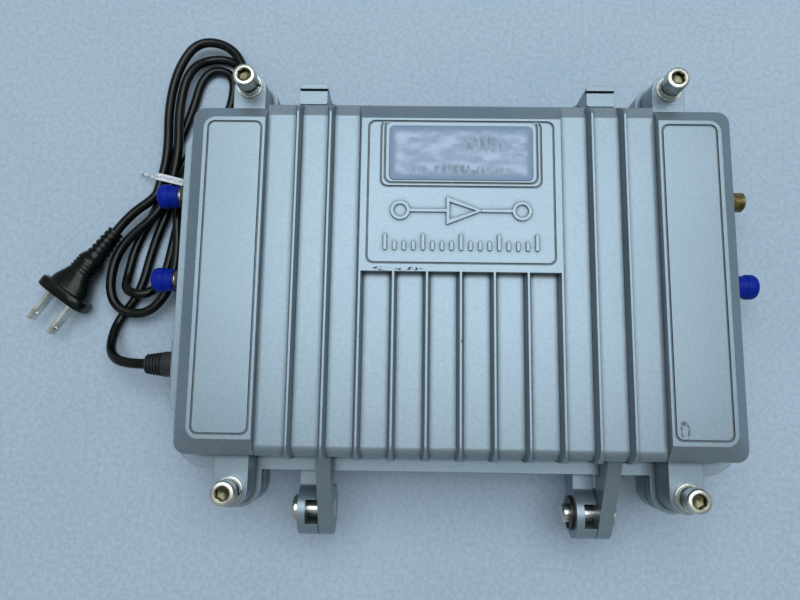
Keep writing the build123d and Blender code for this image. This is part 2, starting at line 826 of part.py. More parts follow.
def dust_cap(side, y):
    head_start = port_reach + cap_wall_end - cap_head_length
    end = port_reach + cap_wall_end
    cap = along_x(y, port_z, cap_neck_radius, side * cap_start, side * end)
    head = along_x(y, port_z, cap_head_radius, side * head_start, side * end)
    cap += fillet(head.edges().filter_by(GeomType.CIRCLE), 0.8)
    hole = along_x(y, port_z, port_radius + cap_clearance, side * (cap_start - 1), side * (port_reach + 0.4))
    return cap - hole


def cable_gland():
    """Ribbed strain relief, threaded through the end wall."""
    face_x = -block_reach - gland_boss
    end_x = -block_reach - gland_reach
    collar_x = face_x - gland_reach * 0.4
    body = along_x(gland_y, port_z, gland_radius, face_x, collar_x)
    cone = Cone(gland_radius - 0.4, gland_tip_radius, abs(end_x - collar_x))
    body += Pos((end_x + collar_x) / 2, gland_y, port_z) * Rot(0, -90, 0) * cone
    pitch = (collar_x - end_x) / (gland_ribs + 0.5)
    for i in range(gland_ribs):
        x = collar_x - (i + 0.8) * pitch
        outer = along_x(gland_y, port_z, gland_radius + 1, x - gland_rib_width / 2, x + gland_rib_width / 2)
        depth = gland_radius - (gland_radius - gland_tip_radius) * (i + 1.2) / gland_ribs - gland_rib_depth
        body -= outer - along_x(gland_y, port_z, depth, x - gland_rib_width, x + gland_rib_width)
    inner_x = -block_reach + block_wall + gland_nut_thickness + 1.5
    body += along_x(gland_y, port_z, gland_thread_radius, face_x, inner_x)
    return body - along_x(gland_y, port_z, cord_radius + 0.1, end_x + 5, inner_x + 1)


def gland_nut():
    hexagon = Plane.YZ * Pos(gland_y, port_z) * RegularPolygon(gland_nut_flats / 2, 6, major_radius=False)
    start = -block_reach + block_wall
    nut = Pos(start, 0, 0) * extrude(hexagon, gland_nut_thickness)
    hole = along_x(gland_y, port_z, gland_thread_radius + port_clearance, start - 1, start + 9)
    return nut - hole


# The cord's hank, drawn in its own plane: s runs up its length and t across it
hank_waist = (-143.8, 58.6)
hank_heading = math.radians(79.14)
layer_low = cord_radius + 0.05
layer_step = 5.5
waist_lift = tie_thickness + 0.3
waist_step = 5.7
upper_wide_s = 55.0
upper_end_s = (67.0, 73.5, 79.5)
upper_end_t = (8.5, 9.5, 3.0)
upper_left = -1.6
upper_left_step = 5.6
upper_right = 17.4
upper_right_step = 7.2
lower_wide_s = -46.0
lower_end_s = (-60.0, -70.0)
lower_end_t = -4.0
lower_left = -12.4
lower_right = 6.4
lower_step = 6.0
hank_start = (-44.0, -3.5)
hank_exit = (-12.0, -8.5)


def hank_point(s, t, z):
    ahead = (math.cos(hank_heading), math.sin(hank_heading))
    across = (ahead[1], -ahead[0])
    x = hank_waist[0] + s * ahead[0] + t * across[0]
    y = hank_waist[1] + s * ahead[1] + t * across[1]
    return Vector(x, y, z)


def hank_direction(turn):
    """A level heading, turned anticlockwise from the hank's own heading."""
    return Vector(math.cos(hank_heading + turn), math.sin(hank_heading + turn), 0)


def hank_nodes():
    """Points and headings of the wound cord, from the lead to the plug.

    Three loops above the waist fan out to the left, each wider than the last.
    Two loops below it cross over the lead. The first three runs lie on the
    surface, and the others lie on them.
    """
    up = 0
    left = math.pi / 2
    down = math.pi
    low = layer_low
    high = layer_low + layer_step
    nodes = []

    def add(s, t, z, heading):
        nodes.append((hank_point(s, t, z), hank_direction(heading)))

    def waist(column, z, heading):
        add(0, column * waist_step, z + waist_lift, heading)

    def upper_loop(number, right_steps, right_z, end_z, left_z):
        add(upper_wide_s, upper_right + right_steps * upper_right_step, right_z, up)
        add(upper_end_s[number], upper_end_t[number], end_z, left)
        add(upper_wide_s, upper_left - number * upper_left_step, left_z, down)

    def lower_loop(number, side_z):
        wide_s = lower_wide_s - number * lower_step
        add(wide_s, lower_left - number * lower_step, side_z, down)
        add(lower_end_s[number], lower_end_t, high, -left)
        add(wide_s + 3, lower_right + number * lower_step, side_z, up)

    add(*hank_start, low, up)
    waist(0, low, up)
    upper_loop(0, 0, low, low, low)
    waist(-1, low, down)
    lower_loop(0, low)
    waist(1, low, up)
    upper_loop(1, 1, low, low, high)
    waist(0, high, down)
    lower_loop(1, high)
    waist(1, high, up)
    upper_loop(2, 1, high, high, high)
    waist(-1, high, down)
    exit_point = hank_point(*hank_exit, plug_axis_z)
    nodes.append((exit_point, (Vector(*tail_corner, plug_axis_z) - exit_point).normalized()))
    return nodes


def biarc(start, start_way, end, end_way):
    """Two tangent arcs that join two points with given headings."""
    chord = end - start
    both = start_way + end_way
    spread = 2 * (1 - start_way.dot(end_way))
    reach = chord.dot(both)
    if spread < 1e-9:
        handle = chord.dot(chord) / (2 * reach)
    else:
        handle = (math.sqrt(reach * reach + spread * chord.dot(chord)) - reach) / spread
    first = start + start_way * handle
    second = end - end_way * handle
    middle = (first + second) * 0.5
    way = (second - first).normalized()
    return [TangentArc(start, middle, tangent=start_way), TangentArc(middle, end, tangent=way)]


def hank_path():
    nodes = hank_nodes()
    straight = 2 * cord_radius
    start, way = nodes[0]
    edges = [Line(start - way * straight, start)]
    for (a, a_way), (b, b_way) in zip(nodes, nodes[1:]):
        edges.extend(biarc(a, a_way, b, b_way))
    end, way = nodes[-1]
    edges.append(Line(end, end + way * straight))
    return edges


def report_hank(edges):
    """Print the tightest arc and the least gap between separate turns, from points along the path."""
    points = []
    travelled = 0.0
    for edge in edges:
        count = max(2, int(edge.length / 1.2))
        for i in range(count):
            points.append((edge @ (i / count), travelled + edge.length * i / count))
        travelled += edge.length
    least, where = min(
        ((p - q).length, (p + q) * 0.5)
        for i, (p, p_at) in enumerate(points)
        for q, q_at in points[i + 1:]
        if q_at - p_at > 6 * cord_radius
    )
    tightest = min(edge.radius for edge in edges if edge.geom_type == GeomType.CIRCLE)
    print(f"hank: {travelled:.0f} mm long, tightest arc {tightest:.1f} mm, "
          f"least gap to itself {least - 2 * cord_radius:.2f} mm near {where}")


def tube(edges, start, way):
    section = Plane(origin=start, z_dir=way) * Circle(cord_radius)
    solid = sweep(section, path=Wire(edges))
    length = sum(edge.length for edge in edges)
    share = solid.volume / (math.pi * cord_radius ** 2 * length)
    return solid, length, share


def cord_hank():
    edges = hank_path()
    report_hank(edges)
    start = edges[0] @ 0
    solid, length, share = tube(edges, start, edges[0] % 0)
    print(f"hank volume is {share:.4f} of its section times its length")
    return solid


def rounded_run(name, points):
    """A tube along straight runs joined by arcs as large as the runs allow."""
    radii = []
    for a, b, c in zip(points, points[1:], points[2:]):
        turn = (b - a).get_angle(c - b)
        shorter = min((b - a).length, (c - b).length)
        radii.append(0.45 * shorter / math.tan(math.radians(turn) / 2))
    path = FilletPolyline(*points, radius=radii)
    solid, length, share = tube(path.edges(), points[0], (points[1] - points[0]).normalized())
    print(f"{name}: {length:.0f} mm long, radii {[round(r, 1) for r in radii]}, volume share {share:.4f}")
    return solid


def cord_lead():
    """From the gland down to the surface, under both lower loops and into the hank."""
    start, way = hank_nodes()[0]
    meet = start - way * 2 * cord_radius
    points = [
        Vector(-block_reach - gland_reach, gland_y, port_z),
        Vector(-156.1, gland_y, port_z),
        Vector(-165.0, -31.2, 16.2),
        Vector(-169.0, -23.0, 8.2),
        Vector(-168.5, -12.2, layer_low),
        meet - way * 10,
        meet,
    ]
    return rounded_run("lead", points)


def cord_tail():
    """From the hank to the plug."""
    end, way = hank_nodes()[-1]
    start = end + way * 2 * cord_radius
    corner = Vector(*tail_corner, plug_axis_z)
    return rounded_run("tail", [start, corner, Vector(*plug_entry, plug_axis_z)])


def plug_place(shape):
    """Turn a shape drawn along X from the cord entry into the plug's place."""
    heading = math.atan2(plug_entry[1] - tail_corner[1], plug_entry[0] - tail_corner[0])
    return Pos(*plug_entry, plug_axis_z) * Rot(0, 0, math.degrees(heading)) * shape


def plug_body():
    relief = Cone(relief_radius, relief_radius + 1.2, relief_length)
    relief = Pos(relief_length / 2, 0, 0) * Rot(0, 90, 0) * relief
    for i in range(4):
        x = 2.5 + 2.6 * i
        ring = Cylinder(relief_radius + 3, 1.0) - Cylinder(relief_radius - 0.4, 2.0)
        relief -= Pos(x, 0, 0) * Rot(0, 90, 0) * ring
    grip = Box(grip_length + 2, grip_width, plug_thickness - 2.5)
    grip = Pos(relief_length + grip_length / 2 - 1, 0, 0) * grip
    grip = fillet(grip.edges().filter_by(Axis.X), 4.5)
    face_x = relief_length + grip_length + plug_face_length / 2
    face = Pos(face_x, 0, 0) * Box(plug_face_length, plug_face_width, plug_thickness)
    face = fillet(face.edges().filter_by(Axis.X), 5.0)
    return plug_place(relief + grip + face)


def plug_blades():
    start = relief_length + grip_length + plug_face_length
    blades = []
    for side in (-1, 1):
        blade = Pos(start + blade_length / 2, side * blade_spacing / 2, 0) * Box(
            blade_length, blade_thickness, blade_width)
        blade -= Pos(start + blade_length - 4, side * blade_spacing / 2, 0) * Rot(90, 0, 0) * Cylinder(1.5, 9)
        blades.append(plug_place(blade))
    return together(blades)


def twist_tie():
    """Two turns of flat tie round the waist, and its twisted tail lying to the left."""
    half_t = waist_step + cord_radius + tie_thickness / 2 + 0.3
    high_z = layer_low + waist_lift + layer_step + cord_radius + 0.25
    low_z = layer_low + waist_lift - cord_radius - 0.25
    height = high_z - low_z
    outer = RectangleRounded(2 * half_t + tie_thickness, height + 2 * tie_thickness, 3.4)
    inner = RectangleRounded(2 * half_t - tie_thickness, height, 3.0)
    plane = Plane(origin=hank_point(0, 0, (high_z + low_z) / 2), x_dir=hank_direction(-math.pi / 2),
                  z_dir=hank_direction(0))
    band = extrude(plane * (outer - inner), tie_width / 2, both=True)
    tail_start = hank_point(0.6, -half_t, low_z + height * 0.55)
    tail_end = hank_point(9.0, -half_t - 11, 2.0)
    way = (tail_end - tail_start).normalized()
    tail = sweep(Plane(origin=tail_start, z_dir=way) * Circle(0.7), path=Line(tail_start, tail_end))
    return band + tail


def rf_board():
    board = block((-rf_board_half_x, rf_board_low_y, board_z),
                  (rf_board_half_x, rf_board_high_y, board_top_z))
    half_x = module_length / 2 + 2
    half_y = module_width / 2 + 2
    board -= block((module_x - half_x, module_y - half_y, 0), (module_x + half_x, module_y + half_y, 99))
    for x, y in post_spots[:4]:
        board -= upright(x, y, screw_radius + 0.2, board_z - 1, board_top_z + 1)
    return board


def power_board():
    board = block((power_board_low_x, power_board_low_y, board_z),
                  (power_board_high_x, power_board_high_y, board_top_z))
    for x, y in post_spots[4:]:
        board -= upright(x, y, screw_radius + 0.2, board_z - 1, board_top_z + 1)
    return board


def board_screw(x, y):
    head = upright(x, y, screw_head_radius, board_top_z, board_top_z + screw_head_height)
    slot = Pos(x, y, board_top_z + screw_head_height) * Box(
        2 * screw_head_radius, screw_slot_width, 2 * screw_slot_depth)
    head -= slot
    return head + upright(x, y, screw_radius, board_top_z - screw_reach, board_top_z + screw_head_height / 4)


def amplifier_module():
    low_z = board_z
    flange_z = low_z + module_flange_thickness
    half_x = module_length / 2
    half_y = module_width / 2
    body = block((module_x - half_x, module_y - half_y, low_z),
                 (module_x + half_x, module_y + half_y, flange_z))
    for side in (-1, 1):
        body -= upright(module_x + side * (half_x - 3), module_y, 1.7, 0, 99)
    body += block((module_x - half_x + 7, module_y - half_y + 2, flange_z - 0.1),
                  (module_x + half_x - 7, module_y + half_y - 2, low_z + module_height))
    for i in range(module_pins):
        x = module_x + (i - (module_pins - 1) / 2) * module_pin_pitch
        pin_y = module_y - half_y - 3.5
        body += block((x - 0.3, pin_y - 0.3, flange_z + 1),
                      (x + 0.3, module_y - half_y + 2.5, flange_z + 1.6))
        body += block((x - 0.3, pin_y - 0.3, board_top_z), (x + 0.3, pin_y + 0.3, flange_z + 1.6))
    return body


def shield_can():
    top_z = board_top_z + can_height
    can = block((can_low_x, can_low_y, board_top_z), (can_high_x, can_high_y, top_z))
    can -= block((can_low_x + can_sheet, can_low_y + can_sheet, board_top_z - 1),
                 (can_high_x - can_sheet, can_high_y - can_sheet, top_z - can_sheet))
    can = fillet(can.edges().filter_by(Axis.Z).sort_by_distance(Vertex(can_low_x, can_low_y, top_z))[:1], 0.5)
    for i in range(4):
        y = can_low_y + 12 + 14.5 * i
        can -= upright((can_low_x + can_high_x) / 2, y, 2.0, top_z - 2, top_z + 1)
    return can


def control_body(y):
    half = control_size / 2
    case = block((control_x - half, y - half, board_top_z),
                 (control_x + half, y + half, board_top_z + control_height))
    return case - upright(control_x, y, knob_shaft_radius + pin_clearance, board_top_z + 2, 99)


def control_knob(y):
    low_z = board_top_z + 2 + knob_gap
    skirt_z = board_top_z + control_height + knob_gap
    knob = upright(control_x, y, knob_shaft_radius, low_z, skirt_z + 1)
    skirt = upright(control_x, y, knob_radius, skirt_z, skirt_z + knob_height)
    slot = Pos(control_x, y, skirt_z + knob_height) * Box(2 * knob_radius - 2, 1.2, 2.4)
    return knob + chamfer(skirt.edges().sort_by(Axis.Z)[-1], 0.8) - slot


def pad_socket(y):
    half_x = pad_length / 2 + pad_clearance + socket_wall
    half_y = pad_width / 2 + pad_clearance + socket_wall
    case = block((pad_x - half_x, y - half_y, board_top_z),
                 (pad_x + half_x, y + half_y, board_top_z + socket_height))
    well_x = half_x - socket_wall
    well_y = half_y - socket_wall
    return case - block((pad_x - well_x, y - well_y, board_top_z + socket_wall),
                        (pad_x + well_x, y + well_y, board_top_z + 2 * socket_height))


def plug_in_pad(y):
    low_z = board_top_z + socket_wall + pad_clearance
    pad = block((pad_x - pad_length / 2, y - pad_width / 2, low_z),
                (pad_x + pad_length / 2, y + pad_width / 2, low_z + pad_height))
    pad = fillet(pad.edges().filter_by(Axis.Z), 0.8)
    grip = Pos(pad_x, y, low_z + pad_height) * Box(pad_length / 2, 1.5, 2.0)
    return pad - grip


def transformer_core():
    half_x = transformer_length / 2
    half_y = transformer_width / 2
    top_z = board_top_z + transformer_height
    core = block((transformer_x - half_x, power_y - half_y + coil_window, board_top_z),
                 (transformer_x + half_x, power_y + half_y - coil_window, top_z))
    for side in (-1, 1):
        low_x, high_x = sorted((side * core_limb_half, side * (half_x - core_side_limb)))
        core -= block((transformer_x + low_x, power_y - half_y, board_top_z + core_yoke),
                      (transformer_x + high_x, power_y + half_y, top_z - core_yoke))
    return core


def transformer_coil():
    half_y = transformer_width / 2
    half_x = transformer_length / 2
    low_z = board_top_z + core_yoke + coil_end_gap
    high_z = board_top_z + transformer_height - core_yoke - coil_end_gap
    outer_x = half_x - core_side_limb - coil_side_gap
    bore_x = core_limb_half + coil_bore_gap
    bore_y = half_y - coil_window + coil_end_gap
    coil = block((transformer_x - outer_x, power_y - half_y, low_z),
                 (transformer_x + outer_x, power_y + half_y, high_z))
    coil = fillet(coil.edges().filter_by(Axis.Z), coil_corner)
    coil -= block((transformer_x - bore_x, power_y - bore_y, low_z - 1),
                  (transformer_x + bore_x, power_y + bore_y, high_z + 1))
    return coil


def capacitor(x, y):
    can = upright(x, y, capacitor_radius, board_top_z, board_top_z + capacitor_height)
    can = fillet(can.edges().sort_by(Axis.Z)[-1], 0.8)
    ring = upright(x, y, capacitor_radius + 1, board_top_z + 3, board_top_z + 4)
    return can - (ring - upright(x, y, capacitor_radius - 0.5, 0, 99))


def heat_sink():
    top_z = board_top_z + sink_height
    plate = block((regulator_x - 12, regulator_y - 1.5, board_top_z),
                  (regulator_x + 12, regulator_y + 1.5, top_z))
    for i in range(sink_fins):
        x = regulator_x - 11 + i * 22 / (sink_fins - 1)
        plate += block((x - 0.9, regulator_y, board_top_z), (x + 0.9, regulator_y + 9, top_z))
    return plate


def regulator():
    face_y = regulator_y - 1.5
    body = block((regulator_x - 5, face_y - 4.5, board_top_z + 6),
                 (regulator_x + 5, face_y, board_top_z + 15))
    body += block((regulator_x - 5, face_y - 1.3, board_top_z + 14),
                  (regulator_x + 5, face_y, board_top_z + 21))
    body -= Pos(regulator_x, face_y, board_top_z + 18) * Rot(90, 0, 0) * Cylinder(1.7, 9)
    for i in (-1, 0, 1):
        x = regulator_x + 2.54 * i
        body += block((x - 0.4, face_y - 2.8, board_top_z), (x + 0.4, face_y - 2.2, board_top_z + 6.5))
    return body


def fuse():
    z = board_top_z + 5
    half = fuse_length / 2
    glass = along_x(fuse_y, z, fuse_radius - 0.2, fuse_x - half, fuse_x + half)
    for side in (-1, 1):
        glass += along_x(fuse_y, z, fuse_radius, fuse_x + side * (half - 5), fuse_x + side * half)
    return glass


def fuse_clip(side):
    x = fuse_x + side * (fuse_length / 2 - 2.5)
    half = fuse_radius + 1.0
    clip = block((x - 2, fuse_y - half, board_top_z), (x + 2, fuse_y + half, board_top_z + 7))
    clip -= along_x(fuse_y, board_top_z + 5, fuse_radius + 0.1, x - 3, x + 3)
    return clip - block((x - 3, fuse_y - fuse_radius, board_top_z + 5), (x + 3, fuse_y + fuse_radius, 99))


def terminal_block():
    half_x = terminal_width / 2
    half_y = terminal_length / 2
    top_z = board_top_z + terminal_height
    body = block((terminal_x - half_x, power_y - half_y, board_top_z),
                 (terminal_x + half_x, power_y + half_y, top_z))
    for i in (-1, 0, 1):
        body -= upright(terminal_x, power_y + 7.5 * i, 2.4, top_z - 5, top_z + 1)
    for i in (-1, 1):
        body -= along_x(power_y + 3.75 * i, board_top_z + 3.5, lead_radius + 0.1,
                        terminal_x - half_x - 1, terminal_x)
    return body


def mains_lead(i):
    """One inner lead, from the cord's end in the gland down to the terminal block."""
    start = Vector(-block_reach + 5, gland_y + 1.15 * i, port_z)
    end = Vector(terminal_x - 1, power_y + 3.75 * i, board_top_z + 3.5)
    first = start + Vector(8, 0, 0)
    last = end - Vector(9, 0, 0)
    path = FilletPolyline(start, first, last, end, radius=3.0)
    return sweep(Plane(origin=start, z_dir=(1, 0, 0)) * Circle(lead_radius), path=path)


def tuning_coil(x, y):
    former = upright(x, y, coil_radius - 1.2, board_top_z, board_top_z + coil_height)
    for i in range(5):
        z = board_top_z + 1.2 + 1.5 * i
        former += upright(x, y, coil_radius, z, z + 0.9)
    return former - upright(x, y, 1.2, board_top_z + 3, 99)


def pilot_lamp():
    lamp = upright(lamp_x, lamp_y, lamp_radius, board_top_z, board_top_z + 6)
    return lamp + Pos(lamp_x, lamp_y, board_top_z + 6) * Sphere(lamp_radius)


def ground_screw():
    wall_y = -tub_half_y + tub_draft / 2
    z = hinge_z - 9
    shank = Pos(ground_x, wall_y, z) * Rot(90, 0, 0) * Cylinder(screw_radius + 0.5, 9)
    head = Pos(ground_x, wall_y - 3.2, z) * Rot(90, 0, 0) * Cylinder(3.8, 2.6)
    slot = Pos(ground_x, wall_y - 4.5, z) * Box(7.6, 1.2, 1.0)
    return shank + head - slot


write("base_housing", base_housing())
write("lid_cover", lid_cover())
write("name_label", name_label())
write("lid_gasket", lid_gasket())
for number, (sx, sy) in enumerate(corners, start=1):
    write(f"cover_bolt_{number}", cover_bolt(sx * lug_x, sy * lug_y))
write("flat_washers", together(flat_washer(sx * lug_x, sy * lug_y) for sx, sy in corners))
write("spring_washers", together(spring_washer(sx * lug_x, sy * lug_y) for sx, sy in corners))
write("hinge_pin_left", hinge_pin_left())
write("hinge_pin_right", hinge_pin_right())
write("hinge_clip", hinge_clip())
for name, (side, y, capped) in ports.items():
    write(f"port_{name}", cable_port(side, y))
    if capped:
        write(f"dust_cap_{name}", dust_cap(side, y))
write("port_nuts", together(port_nut(side, y) for side, y, _ in ports.values()))
write("port_seals", together(port_seal(side, y) for side, y, _ in ports.values()))
write("port_insulators", together(port_insulator(side, y) for side, y, _ in ports.values()))
write("port_contacts", together(port_contact(side, y) for side, y, _ in ports.values()))
write("cable_gland", cable_gland())
write("gland_nut", gland_nut())
write("cord_lead", cord_lead())
write("cord_hank", cord_hank())
write("cord_tail", cord_tail())
write("twist_tie", twist_tie())
write("plug_body", plug_body())
write("plug_blades", plug_blades())
write("rf_board", rf_board())
write("power_board", power_board())
write("board_screws", together(board_screw(x, y) for x, y in post_spots))
write("amplifier_module", amplifier_module())
write("shield_can", shield_can())
write("control_bodies", together(control_body(y) for y in control_ys))
write("gain_knob", control_knob(control_ys[0]))
write("tilt_knob", control_knob(control_ys[1]))
write("pad_sockets", together(pad_socket(y) for y in pad_ys))
write("attenuator_pad", plug_in_pad(pad_ys[0]))
write("equaliser_pad", plug_in_pad(pad_ys[1]))
write("transformer_core", transformer_core())
write("transformer_coil", transformer_coil())
cans = (capacitor(transformer_x + dx, power_y + dy) for dx, dy in capacitor_offsets)
write("filter_capacitors", together(cans))
write("heat_sink", heat_sink())
write("regulator", regulator())
write("fuse", fuse())
write("fuse_clips", together(fuse_clip(side) for side in (-1, 1)))
write("terminal_block", terminal_block())
write("mains_leads", together(mains_lead(i) for i in (-1, 1)))
write("tuning_coils", together(tuning_coil(x, y) for x, y in coil_spots))
write("pilot_lamp", pilot_lamp())
write("ground_screw", ground_screw())
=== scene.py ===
# %% [markdown]
# # A cast line amplifier, dressed for the camera
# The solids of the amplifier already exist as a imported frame: two castings, the
# ports, the bolts and the boards inside. Here they get their finishes, and the
# pieces whose look lives in small curves are modelled again over them. The
# camera, the lamp and the finishes are written in metres and the pieces in
# millimetres, all in the frame's own axes: X along the housing, Y towards the
# strand tabs and Z out through the lid.

# %% Load the frame
import math

import bmesh
import bpy
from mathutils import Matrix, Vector


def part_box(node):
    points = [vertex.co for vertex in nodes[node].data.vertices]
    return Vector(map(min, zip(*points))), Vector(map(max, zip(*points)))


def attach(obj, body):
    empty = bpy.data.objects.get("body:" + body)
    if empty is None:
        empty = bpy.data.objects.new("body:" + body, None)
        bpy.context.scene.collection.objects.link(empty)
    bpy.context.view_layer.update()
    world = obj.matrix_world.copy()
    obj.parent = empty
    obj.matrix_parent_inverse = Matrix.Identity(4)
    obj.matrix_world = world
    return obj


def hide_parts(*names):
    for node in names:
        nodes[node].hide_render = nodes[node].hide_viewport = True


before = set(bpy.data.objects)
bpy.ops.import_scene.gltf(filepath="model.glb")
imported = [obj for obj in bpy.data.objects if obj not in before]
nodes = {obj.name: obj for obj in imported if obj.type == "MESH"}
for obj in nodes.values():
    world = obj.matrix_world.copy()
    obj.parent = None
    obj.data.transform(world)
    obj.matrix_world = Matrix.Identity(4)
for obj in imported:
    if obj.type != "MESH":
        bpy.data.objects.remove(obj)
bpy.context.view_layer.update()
print("frame holds", len(nodes), "nodes")

# %% [markdown]
# The camera hangs almost straight over the lid, tilted a little towards the
# strand tabs. It could be placed by eye, but the four corner lugs are a known
# rectangle, and the way a lens shows a known rectangle fixes the rest. So its
# lens, its place and its tilt were worked out from the lugs and are only set here.

# %% Camera over the lid
lens_mm = 29.45
camera_place = Vector((-0.0207, -0.0491, 0.3324))
camera_tilt = tuple(math.radians(angle) for angle in (8.4, 0.82, 0.73))

camera = bpy.data.objects.new("camera", bpy.data.cameras.new("camera"))
camera.data.lens = lens_mm
camera.data.sensor_width = 36
camera.data.clip_start = 0.01
camera.rotation_mode = "ZYX"
camera.rotation_euler = camera_tilt
camera.location = camera_place
bpy.context.scene.collection.objects.link(camera)
bpy.context.scene.camera = camera
print("camera at", tuple(camera_place))

# %% [markdown]
# Every finish below is a node tree. Trees can be drawn by hand in the editor or
# wired line by line, but a tree that computes something reads best as a sum. This
# small class wraps one socket, so that adding or multiplying two of them adds the
# Math node that does it. Every other node comes from its one method, node().

# %% Sockets that can be added and multiplied
class Signal:
    """One socket of a material's node tree."""

    def __init__(self, tree, socket):
        self.tree = tree
        self.socket = socket

    def node(self, kind, settings=None, values=None, output=0):
        """Add a node: its type, its settings, and the values or links of its sockets."""
        made = self.tree.nodes.new("ShaderNode" + kind)
        for name, value in (settings or {}).items():
            setattr(made, name, value)
        for name, value in (values or {}).items():
            if isinstance(value, Signal):
                self.tree.links.new(value.socket, made.inputs[name])
            else:
                made.inputs[name].default_value = value
        return Signal(self.tree, made.outputs[output])

    def reckon(self, operation, first, second=0.0):
        """Add a Math node over two numbers or signals."""
        return self.node("Math", {"operation": operation}, {0: first, 1: second})

    def __add__(self, other):
        return self.reckon("ADD", self, other)

    def __sub__(self, other):
        return self.reckon("SUBTRACT", self, other)

    def __mul__(self, other):
        return self.reckon("MULTIPLY", self, other)

    def __truediv__(self, other):
        return self.reckon("DIVIDE", self, other)

    def __rsub__(self, other):
        return self.reckon("SUBTRACT", other, self)

    def __rtruediv__(self, other):
        return self.reckon("DIVIDE", other, self)

    __radd__ = __add__
    __rmul__ = __mul__

    def abs(self):
        return self.reckon("ABSOLUTE", self)

    def root(self):
        return self.reckon("POWER", self, 0.5)

    def sine(self):
        return self.reckon("SINE", self)

    def least(self, other):
        return self.reckon("MINIMUM", self, other)

    def most(self, other):
        return self.reckon("MAXIMUM", self, other)

    def step(self, low, high):
        """0 below low and 1 above high, with a smooth rise between."""
        return self.node("MapRange", {"interpolation_type": "SMOOTHSTEP"},
                         {"Value": self, "From Min": low, "From Max": high})

    def blend(self, below, above):
        """A colour that goes from below to above as this signal goes from 0 to 1."""
        return self.node("Mix", {"data_type": "RGBA"}, {0: self, 6: below, 7: above}, output=2)


print("signals add, subtract, multiply and divide")

# %% [markdown]
# Real surfaces are never one flat value: paint clouds, plating wears and plastic
# has a grain. Photographs of such surfaces could be laid over the pieces, but
# noises need no unwrapping and stay sharp close by. So each finish starts from
# where a point of the surface is and from noises there, and sets what it needs on
# the plain Principled shader.

# %% A finish and its noises
class Finish:
    """One material under construction."""

    def __init__(self, name, roughness=0.5, metallic=0.0, coat=0.0):
        self.material = bpy.data.materials.new(name)
        self.material.use_nodes = True
        self.tree = self.material.node_tree
        self.shader = self.tree.nodes["Principled BSDF"]
        self.put("Roughness", roughness)
        self.put("Metallic", metallic)
        self.put("Coat Weight", coat)
        self.node = Signal(self.tree, None).node
        self.place = self.node("TexCoord", output=3)
        axes = self.node("SeparateXYZ", values={0: self.place}).socket.node.outputs
        self.x, self.y, self.z = (Signal(self.tree, axis) for axis in axes)

    def put(self, name, value):
        """Set one input of the shader to a number or to a signal."""
        socket = self.shader.inputs[name]
        if isinstance(value, Signal):
            self.tree.links.new(value.socket, socket)
        else:
            socket.default_value = value

    def noise(self, grain, detail=3.0, stretch=None, seed=0.0):
        """Soft noise from 0 to 1 whose lumps are about grain metres across."""
        place = self.place
        if stretch:
            place = self.node("VectorMath", {"operation": "MULTIPLY"}, {0: place, 1: stretch})
        return self.node("TexNoise", {"noise_dimensions": "4D"},
                         {"Vector": place, "W": seed, "Scale": 1 / grain, "Detail": detail})

    def relief(self, height, depth, edge=None):
        """Bump of a given depth in metres, over edges rounded to a given radius."""
        values = {"Height": height, "Distance": depth, "Strength": 1.0}
        if edge:
            values["Normal"] = self.node("Bevel", {"samples": 6}, {"Radius": edge})
        self.put("Normal", self.node("Bump", values=values))


def dress(finish, *names):
    """Give these nodes of the frame one finish."""
    for name in names:
        slots = nodes[name].data.materials
        slots.clear()
        slots.append(finish.material)


print("finishes start from place and noise")

# %% [markdown]
# Most small pieces of the amplifier are turned, moulded or threaded. A Screw
# modifier could spin a profile for them, but it makes round pieces only. Rings of
# points, stacked along an axis and joined, do the same and more: a ring's radius
# may be a number or a function of the angle round the axis, so that a piece can
# go from round to six-sided to toothed along its length.

# %% Rings of points, stacked into a piece
MM = 0.001
FULL_TURN = 2 * math.pi


def show(name, shape, finish, sharp_angle=35):
    """Turn a bmesh into a piece with one finish and smooth faces between its sharp edges."""
    mesh = bpy.data.meshes.new(name)
    bmesh.ops.recalc_face_normals(shape, faces=shape.faces)
    shape.to_mesh(mesh)
    shape.free()
    mesh.shade_smooth()
    mesh.set_sharp_from_angle(angle=math.radians(sharp_angle))
    mesh.materials.append(finish.material)
    piece = bpy.data.objects.new(name, mesh)
    bpy.context.scene.collection.objects.link(piece)
    return piece


def stacked(name, rings, start, way, finish, around=48, closed=False):
    """A piece drawn as rings (distance, radius) along an axis, in millimetres."""
    turn = Vector(way).to_track_quat("Z", "Y").to_matrix()
    shape = bmesh.new()
    loops = []
    for along, radius in rings:
        loop = []
        for spoke in range(around):
            angle = FULL_TURN * spoke / around
            reach = radius(angle) if callable(radius) else radius
            point = Vector((reach * math.cos(angle), reach * math.sin(angle), along))
            loop.append(shape.verts.new((Vector(start) + turn @ point) * MM))
        loops.append(loop)
    if closed:
        loops.append(loops[0])
    for low, high in zip(loops, loops[1:]):
        for spoke in range(around):
            after = (spoke + 1) % around
            shape.faces.new((low[spoke], low[after], high[after], high[spoke]))
    if not closed:
        shape.faces.new(loops[0])
        shape.faces.new(loops[-1])
    return show(name, shape, finish)


print("a piece is a stack of rings")

# %% [markdown]
# The mains cord is one length of round flex. It drops from the gland to the
# bench, runs into a hank of three turns that is tied at its waist, and comes out
# to a two-blade plug. The hank gets axes of its own, along it and across it, with
# the waist as their middle, because its turns are easier to place there than in
# the frame's axes.

# %% Cord sizes and the hank's own axes
cord_radius = 2.4
gland_y = -35.5
gland_end_x = -144.9
port_z = 22.0
tail_corner = (-164.4, 41.2)
plug_entry = (-170.6, 32.4)
plug_axis_z = 8.6

